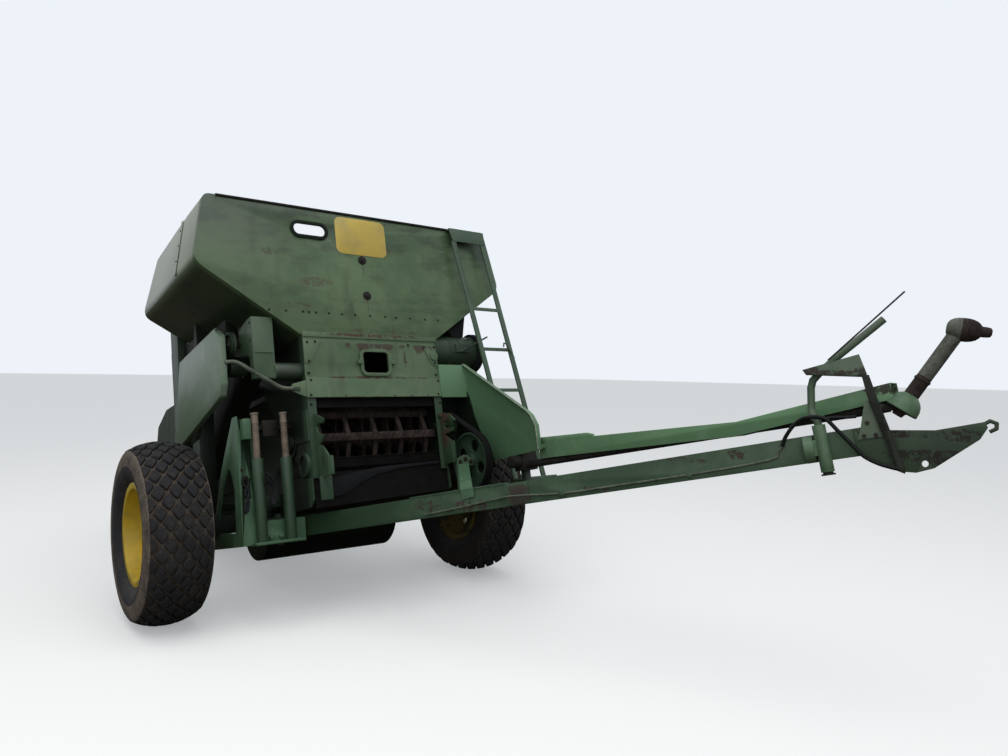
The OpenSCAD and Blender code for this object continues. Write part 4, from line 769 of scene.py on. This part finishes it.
TANK_Y, PLATE_Y = -0.731, -0.7455
TANK_ROW_Z = 2.022
tank_row = metres((
    -772, -651, -527, -482, -429, -329, -227, -122, 2, 129, 224, 348, 485, 607))[0]
tank_low = (
    (-418, 1870), (-351, 1870), (-218, 1872), (-81, 1873), (117, 1873), (327, 1874), (506, 1876))
bolt_set("tank_front_bolts", [(x, TANK_Y, TANK_ROW_Z) for x in tank_row]
         + [(x, TANK_Y, z) for x, z in metres(*tank_low)], FRONT, 0.011)
throat_spots = (
    (-522, 1797), (-462, 1803), (-518, 1660), (-526, 1575), (-515, 1525), (-523, 1418), (-413, 1403),
    (-260, 1406), (-118, 1401), (139, 1407), (286, 1406), (428, 1405), (526, 1421), (525, 1575),
    (535, 1524), (525, 1668), (440, 1794), (532, 1797), (297, 1805))
bolt_set("throat_bolts", [(x, PLATE_Y, z) for x, z in metres(*throat_spots)], FRONT, 0.012, seed=8)
shield_spots = ((-770, 1423), (-773, 1228), (-830, 1036), (-1063, 1209), (-1147, 876))
bolt_set("left_shield_bolts", [(0.811, y, z) for y, z in metres(*shield_spots)], LEFT, 0.012,
         painted_bolts, seed=5)
head_spots = ((-660, 1940), (-660, 1820), (-660, 1700), (-660, 1600), (-470, 1940), (-470, 1600))
bolt_set("elevator_head_bolts", [(-0.8905, y, z) for y, z in metres(*head_spots)], RIGHT, 0.013,
         painted_bolts, seed=6)

# %% [markdown]
# Rolled edges, levers, hoses and pipes are all one thing: a round section that follows a path.
# The third recipe takes a chain of points, bends a smooth curve through them, runs a circle
# along it and closes both ends.

# %% Bars along a path
def bar_recipe(finish):
    recipe = Recipe("bar_along_a_path", Radius="Float", Sides="Int", Smooth="Int")
    path = recipe.add("GeometryNodeMeshToCurve", None, {"Mesh": recipe.input("Geometry")})
    path = recipe.add("GeometryNodeCurveSplineType", {"spline_type": "CATMULL_ROM"}, {"Curve": path})
    path = recipe.add("GeometryNodeSetSplineResolution", None,
                      {"Geometry": path, "Resolution": recipe.input("Smooth")})
    ring = recipe.add("GeometryNodeCurvePrimitiveCircle", {"mode": "RADIUS"},
                      {"Resolution": recipe.input("Sides"), "Radius": recipe.input("Radius")})
    bar = recipe.add("GeometryNodeCurveToMesh", None,
                     {"Curve": path, "Profile Curve": ring, "Scale": recipe.named("FLOAT", "thick"),
                      "Fill Caps": True})
    return recipe.end(bar, finish)


bars = {}


def bar(name, finish, places, radius, body="machine", slot_name="green_paint", sides=10, smooth=1,
        thick=None):
    if finish.name not in bars:
        bars[finish.name] = bar_recipe(finish)
    path = dots(name, places, thick=thick or [1.0] * len(places))
    path.edges.add(len(places) - 1)
    for k, edge in enumerate(path.edges):
        edge.vertices = (k, k + 1)
    return bars[finish.name].make(name, path, body, slot_name, Radius=radius, Sides=sides, Smooth=smooth)


def closed_piece(work, name, finish):
    """A bmesh as an object, with its faces turned outwards."""
    bmesh.ops.recalc_face_normals(work, faces=work.faces)
    mesh = bpy.data.meshes.new(name)
    work.to_mesh(mesh)
    work.free()
    mesh.materials.append(finish)
    return added(name, mesh)


SIDES = 32


def turned(name, finish, start, way, profile, body="machine", slot_name="green_paint"):
    """A turned piece: profile rows are (distance along the axis, radius), from end to end."""
    work = bmesh.new()
    spin = Vector(way).to_track_quat("Z", "Y").to_matrix()
    rings = []
    for far, radius in profile:
        around = [2 * math.pi * k / SIDES for k in range(SIDES)]
        rings.append([work.verts.new(Vector(start) + spin @ Vector((
            radius * math.cos(angle), radius * math.sin(angle), far))) for angle in around])
    for low, high in zip(rings, rings[1:]):
        for k in range(SIDES):
            j = (k + 1) % SIDES
            work.faces.new((low[k], low[j], high[j], high[k]))
    work.faces.new(rings[0][::-1])
    work.faces.new(rings[-1])
    return settle(closed_piece(work, name, finish), body, slot_name)


print("three recipes ready")

# %% [markdown]
# Cover sheets and brackets are plain plates. One helper takes the corners of a plate, gives it its
# thickness and softens its edges.

# %% Plates
PLATE_EDGE = 0.001


def plate(name, finish, corners, thickness, slot_name="green_paint"):
    work = bmesh.new()
    front = [work.verts.new(corner) for corner in corners]
    face = work.faces.new(front)
    face.normal_update()
    away = face.normal * -thickness
    back = [work.verts.new(corner + away) for corner in corners]
    work.faces.new(back[::-1])
    for k in range(len(corners)):
        j = (k + 1) % len(corners)
        work.faces.new((front[j], front[k], back[k], back[j]))
    piece = closed_piece(work, name + "_raw", finish)
    bevel = piece.modifiers.new("edge", "BEVEL")
    bevel.width = PLATE_EDGE
    bevel.segments = 1
    return settle(plain(piece, name), "machine", slot_name)


print("plate helper ready")

# %% [markdown]
# The tank's upper edge is rolled over a wire, so it ends in a dark round lip that catches the light.
# Two big washers with rust runs below them sit in the middle of the front sheet, and the side sheet
# is joined by a lapped seam with a row of bolts.

# %% Tank trim
TANK_FOLD, TANK_TOP = 2.33, 2.815
bar("tank_front_lip", dark_iron,
    [stand(x, TANK_Y, TANK_TOP - 0.004) for x in (-1.09, -0.7, -0.2, 0.3, 0.75, 1.09)], 0.010)
for number, (x, z) in enumerate(((-0.022, 2.457), (-0.008, 2.178))):
    turned("tank_washer_%d" % number, dark_iron, stand(x, TANK_Y + 0.002, z), turn(FRONT),
           [(0, 0.034), (0.004, 0.034), (0.006, 0.030), (0.007, 0.016), (0.016, 0.014), (0.018, 0.006)])
    bar("tank_rust_run_%d" % number, loose_iron,
        [stand(x + aside, TANK_Y + 0.0005, z - down) for aside, down in ((0, 0.03), (0.002, 0.08),
                                                                         (0.001, 0.13))],
        0.0015, thick=[1.4, 1.0, 0.5])


def on_tank_side(y, z, out=0.0):
    """A level place on the tank's right side sheet, which leans in towards the top."""
    lean = (z - TANK_FOLD) / (TANK_TOP - TANK_FOLD)
    return (-1.26 + 0.09 * lean - out, y, z)


lap_corners = ((-0.286, 2.785), (-0.302, 2.362), (-0.262, 2.362), (-0.246, 2.785))
plate("tank_side_lap", tank_paint, standing(on_tank_side(y, z, 0.003) for y, z in lap_corners), 0.004)
bolt_set("tank_side_bolts", [on_tank_side(y, z, 0.005) for y, z in (
    (-0.265, 2.71), (-0.272, 2.59), (-0.279, 2.47))], RIGHT, 0.012, seed=12)

# %% [markdown]
# Sheets behind the belt drive and behind the right shield close the body, so that nothing shines
# through it. They stand in deep shade, and their near black inner paint is painted shade.

# %% Inner sheets
plate("left_inner_front", inner_shade_paint, standing((x, -0.56, z) for x, z in (
    (0.53, 0.80), (0.795, 0.80), (0.795, 1.46), (0.53, 1.46))), 0.004)
plate("left_inner_side", inner_shade_paint, standing((0.79, y, z) for y, z in (
    (-0.55, 0.80), (-1.03, 0.80), (-1.00, 0.88), (-0.975, 0.945), (-0.90, 1.04), (-0.82, 1.226),
    (-0.78, 1.39), (-0.74, 1.46), (-0.55, 1.46))), 0.004)
plate("right_inner_side", inner_shade_paint, standing((-0.93, y, z) for y, z in (
    (0.30, 1.32), (1.10, 1.25), (1.13, 2.14), (0.30, 2.10))), 0.005)
print("inner sheets closed")

# %% [markdown]
# The sheave turns in a bearing on a bracket, and a flat bar props the bracket against the
# tongue. The bar is a channel that stands nearly upright and narrows a little towards its foot.

# %% Bearing and prop of the drive sheave
turned("sheave_bearing", frame_paint, stand(0.557, -0.930, 0.870), turn(LEFT),
       [(0.0, 0.030), (0.0, 0.046), (0.037, 0.046), (0.037, 0.028)], slot_name="pale_paint")
top = standing([(0.470, -0.985, 0.850), (0.566, -0.985, 0.856)])
knee = [on_tongue(-0.066, -1.592, 0.076), on_tongue(-0.066, -1.682, 0.076)]
foot = [on_tongue(-0.066, -1.598, 0.012), on_tongue(-0.066, -1.684, 0.020)]
edge = turn((0.012, 0.035, 0))
sheave_plates = {
    "sheave_prop": (frame_paint, [top[0], knee[0], knee[1], top[1]], 0.007),
    "sheave_prop_foot": (frame_paint, [knee[0], foot[0], foot[1], knee[1]], 0.007),
    "sheave_prop_edge": (barrel_paint, [top[0], knee[0], knee[0] + edge, top[0] + edge], 0.006),
    "sheave_bracket": (plate_paint, standing((x, -0.990, z) for x, z in (
        (0.458, 0.835), (0.606, 0.832), (0.612, 0.880), (0.535, 0.915), (0.470, 0.890))), 0.010),
    "sheave_bracket_web": (frame_paint, standing((0.555, y, z) for y, z in (
        (-0.985, 0.835), (-0.930, 0.835), (-0.930, 0.885), (-0.985, 0.90))), 0.012)}
for name, (finish, corners, thickness) in sheave_plates.items():
    piece = plate(name, finish, corners, thickness, slot_name="pale_paint")
    if name == "sheave_prop":
        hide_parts("sheave_stand")
bolt_set("sheave_bracket_bolts", [(x, -0.9915, z) for x, z in (
    (0.490, 0.862), (0.538, 0.882), (0.584, 0.860))], FRONT, 0.022, slot_name="pale_paint", seed=21)

# %% [markdown]
# The left shield has a rolled rim that is worn bright, an oil pipe runs along the tongue, and a bent
# lever comes out of the right drive. All three are bars along a path.

# %% Rims, pipes and levers
rim_path = [
    (-752, 1662), (-1100, 1419), (-1474, 1155), (-1512, 1118), (-1552, 1037), (-1551, 865)]
bar("left_shield_rim", edge_iron, [stand(0.776, y, z) for y, z in metres(*rim_path)], 0.0045)
lever = [
    (-1100, 1635), (-1026, 1637), (-930, 1582), (-831, 1523), (-731, 1468), (-657, 1463)]
bar("right_lever", pipe_iron, [stand(x, -0.753, z) for x, z in metres(*lever)], 0.0145, sides=14, smooth=4)
pipe_route = [
    (-1300, -46), (-1644, -28), (-1930, -10), (-2259, -38), (-2633, -39), (-3091, -38), (-3461, -24),
    (-3508, 10), (-3538, 40)]
bar("tongue_oil_pipe", pipe_iron, [on_tongue(-0.055, y, z) for y, z in metres(*pipe_route)], 0.0064, smooth=3)

# %% [markdown]
# The drive shaft's front half is folded up and back. It is a turned piece: a green bell over the
# joint, a tube that goes from rust to paint, and a rounded end joint with its yoke. A profile along
# the axis gives each its shape, and all of them ride on the folded shaft's body.

# %% Folded drive shaft
BODY_AT = on_tongue(0.0, -4.119, 0.138)
ALONG_BODY = (BODY_AT, on_tongue(0.0, -4.430, 0.457) - BODY_AT)
HEAD_AT = on_tongue(0.0, -4.428, 0.462)
ALONG_HEAD = (HEAD_AT, on_tongue(0.0, -4.553, 0.414) - HEAD_AT)
folded_pieces = {
    "folded_bell": (jack_paint, ALONG_BODY, "green_paint", [
        (46, 28), (30, 60), (8, 71), (-18, 75), (-21, 78), (-17, 81), (12, 78), (36, 69), (54, 55),
        (63, 43), (68, 37)]),
    # The dark lining inside the green bell is painted shade.
    "folded_bell_lining": (dark_iron, ALONG_BODY, "dark_steel", [
        (40, 26), (26, 58), (6, 69.5), (-18.5, 74.2), (-18.5, 72.8), (4, 68), (24, 56.5), (37, 26)]),
    "folded_tube_low": (joint_iron, ALONG_BODY, "dark_steel", [
        (60, 30), (60, 36), (150, 36), (152, 40), (162, 40), (164, 36), (176, 35)]),
    "folded_tube": (shaft_iron, ALONG_BODY, "green_paint", [
        (174, 30), (174, 35.5), (300, 35.5), (360, 35.5), (420, 35.5), (436, 30)]),
    "folded_joint_core": (joint_iron, ALONG_BODY, "dark_steel", [
        (-50, 12), (-50, 24), (-30, 30), (-12, 46), (6, 46), (12, 34), (60, 30)]),
    "folded_head_cap": (shaft_iron, ALONG_HEAD, "green_paint", [
        (-52, 12), (-50, 26), (-40, 41), (-24, 51), (-4, 56), (14, 57)]),
    "folded_head": (joint_iron, ALONG_HEAD, "dark_steel", [
        (12, 50), (12, 57.5), (40, 57), (60, 53), (78, 45), (90, 34), (96, 26), (120, 25), (134, 22),
        (140, 12)])}
for name, (finish, along, slot_name, profile) in folded_pieces.items():
    piece = turned(name, finish, *along, metres(*profile), "folded_pto", slot_name)
    if name == "folded_bell":
        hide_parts("folded_shaft")
print("%d turned pieces in the folded shaft" % len(folded_pieces))

# %% [markdown]
# Oil hoses hang in loose bows between fixed ends: one goes from the pipe on the tongue over the
# jack and behind the strap to the hitch, a short one bridges to the channel, and two pairs hang
# beside the lift cylinders. A thin rod leans on the hose stand's tube.

# %% Hoses and thin rods
hitch_hose = [
    (-64, -3535, 36), (-75, -3564, 84), (-95, -3627, 141), (-112, -3690, 158), (-112, -3764, 138),
    (-108, -3811, 70), (-106, -3857, -3), (-104, -3902, -72), (-104, -3954, -115), (-104, -4005, -142),
    (-96, -4046, -160)]
hose = bar("hitch_hose", hose_rubber, [on_tongue(*place) for place in metres(*hitch_hose)], 0.0100,
           slot_name="black_rubber", sides=12, smooth=6)
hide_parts("hoses")
bridge_hose = [
    (-75, -3735, 150), (-60, -3751, 141), (-50, -3805, 139), (-45, -3859, 130), (-45, -3905, 126)]
bar("bridge_hose", hose_rubber, [on_tongue(*place) for place in metres(*bridge_hose)], 0.0085,
    slot_name="black_rubber", smooth=5)
leaning_rod = [(-72, -3834, 427), (-66, -4040, 560), (-60, -4241, 690)]
bar("leaning_rod", dark_iron, [on_tongue(*place) for place in metres(*leaning_rod)], 0.0045,
    slot_name="dark_steel", smooth=2)
cylinder_hoses = {
    "outer": [(-992, 895), (-1000, 850), (-962, 800), (-978, 740), (-996, 690),
              (-985, 655)],
    "outer_low": [(-975, 900), (-960, 850), (-985, 790), (-968, 730), (-982, 665)],
    "inner": [(-850, 915), (-830, 900), (-795, 860), (-772, 800), (-778, 745),
              (-800, 695)],
    "inner_low": [(-842, 885), (-815, 850), (-790, 810), (-792, 760), (-812, 700)]}
for name, route in cylinder_hoses.items():
    bar("cylinder_hose_" + name, hose_rubber, [stand(x, -0.648, z) for x, z in metres(*route)], 0.0095,
        slot_name="black_rubber", sides=8, smooth=5)

# %% [markdown]
# Last small things: bolts on the tower plate, the frame post and the throat's flange, and the
# bright lip of each wheel's rim.

# %% Small fastenings
tower_way = TIP @ ALONG_TONGUE @ Vector(RIGHT)
tower_places = [on_tongue(-0.066, y, z) for y, z in ((-3.922, 0.024), (-3.975, 0.020), (-3.948, 0.085))]
base = dots("tower_bolts", tower_places, facing=[tower_way] * 3, across=[0.022] * 3)
iron_bolts.make("tower_bolts", base, "machine", "green_paint", Seed=4)
bolt_set("post_bolts", [(-0.963, -0.5465, 0.95), (-0.525, -0.7385, 1.353), (0.536, -0.7385, 1.351)], FRONT,
         [0.014, 0.013, 0.013], seed=17)
LIP_OUT, LIP_R, LIP_STEPS = 0.1575, 0.3235, 48
for side, mark in (("right", -1), ("left", 1)):
    lip_x = wheel_middle(side).x + mark * LIP_OUT
    ring = [Vector((lip_x, axle.y + LIP_R * math.sin(angle), WHEEL_R + LIP_R * math.cos(angle)))
            for angle in [2 * math.pi * k / LIP_STEPS for k in range(LIP_STEPS + 1)]]
    bar("rim_lip_" + side, rim_yellow, ring, 0.0065, "wheel_" + side, "yellow_paint")
print("small fastenings done")

# %% [markdown]
# The floor is plain and pale to the camera, and throws back only as much light as bare soil does, so
# the underside stays as dark as it is on a field. A wide soft lamp stands for the overcast sky, a
# second one fills the front, and the camera stands where the photographer stood.

# %% Floor, light and camera
PALE, SOIL, GLOW = (226, 225, 221), (92, 86, 76), (150, 152, 154)
floor_finish = Finish("pale_floor", 0.9)
floor_finish.set("Specular IOR Level", 0.0)
seen = floor_finish.add("ShaderNodeLightPath", output="Is Camera Ray")
floor_finish.set("Base Color", floor_finish.blend(seen, SOIL, PALE))
floor_finish.set("Emission Color", floor_finish.blend(seen, (0, 0, 0), GLOW))
floor_finish.set("Emission Strength", 1.0)
REACH = 150
ground = bpy.data.meshes.new("floor")
ground.from_pydata([(x * REACH, y * REACH, 0.0) for x, y in ((-1, -1), (1, -1), (1, 1), (-1, 1))],
                   [], [(0, 1, 2, 3)])
ground.materials.append(floor_finish.material)
added("floor", ground)

world = bpy.data.worlds.new("sky")
world.use_nodes = True
bpy.context.scene.world = world
sky = Finish.__new__(Finish)
sky.tree = world.node_tree
sky.shader = world.node_tree.nodes["Background"]
in_sight = [sky.add("ShaderNodeLightPath", output="Is %s Ray" % kind) for kind in ("Camera", "Glossy")]
sky.set("Color", (0.90, 0.94, 1.0, 1.0))
sky.set("Strength", (in_sight[0] | in_sight[1]) * 0.45 + 0.5)


def area_light(name, place, aim, size, power):
    lamp = bpy.data.lights.new(name, "AREA")
    lamp.size = size
    lamp.energy = power
    holder = added(name, lamp)
    holder.matrix_world = (Vector(aim) - Vector(place)).to_track_quat("-Z", "Y").to_matrix().to_4x4()
    holder.matrix_world.translation = Vector(place)


area_light("overcast", (-2.0, -3.0, 9.0), (0, 0, 1.0), 9.0, 420)
area_light("low_front", (-6.0, -8.0, 3.5), (0, 0, 1.2), 6.0, 120)

PHOTO_WIDTH, PHOTO_HEIGHT = 1008, 756
FOCAL, HORIZON_ROW, SENSOR = 757.0, 371.7, 36.0
EYE = Vector((body_middle - 2.69843661, axle.y - 5.49672323, 1.75))
YAW, ROLL = math.radians(38), math.radians(1)
PITCH_DOWN = math.atan((HORIZON_ROW - PHOTO_HEIGHT / 2) / FOCAL)
ahead = Vector((math.sin(YAW) * math.cos(PITCH_DOWN), math.cos(YAW) * math.cos(PITCH_DOWN),
                math.sin(PITCH_DOWN)))
across = Vector((math.cos(YAW), -math.sin(YAW), 0))
upward = across.cross(ahead)
lens = bpy.data.cameras.new("camera")
lens.sensor_width = SENSOR
lens.lens = SENSOR * FOCAL / PHOTO_WIDTH
camera = added("camera", lens)
tilted = (across * math.cos(ROLL) + upward * math.sin(ROLL),
          upward * math.cos(ROLL) - across * math.sin(ROLL), -ahead)
camera.matrix_world = Matrix(tilted).transposed().to_4x4()
camera.matrix_world.translation = EYE
bpy.context.scene.camera = camera
bpy.context.scene.view_settings.view_transform = "Standard"
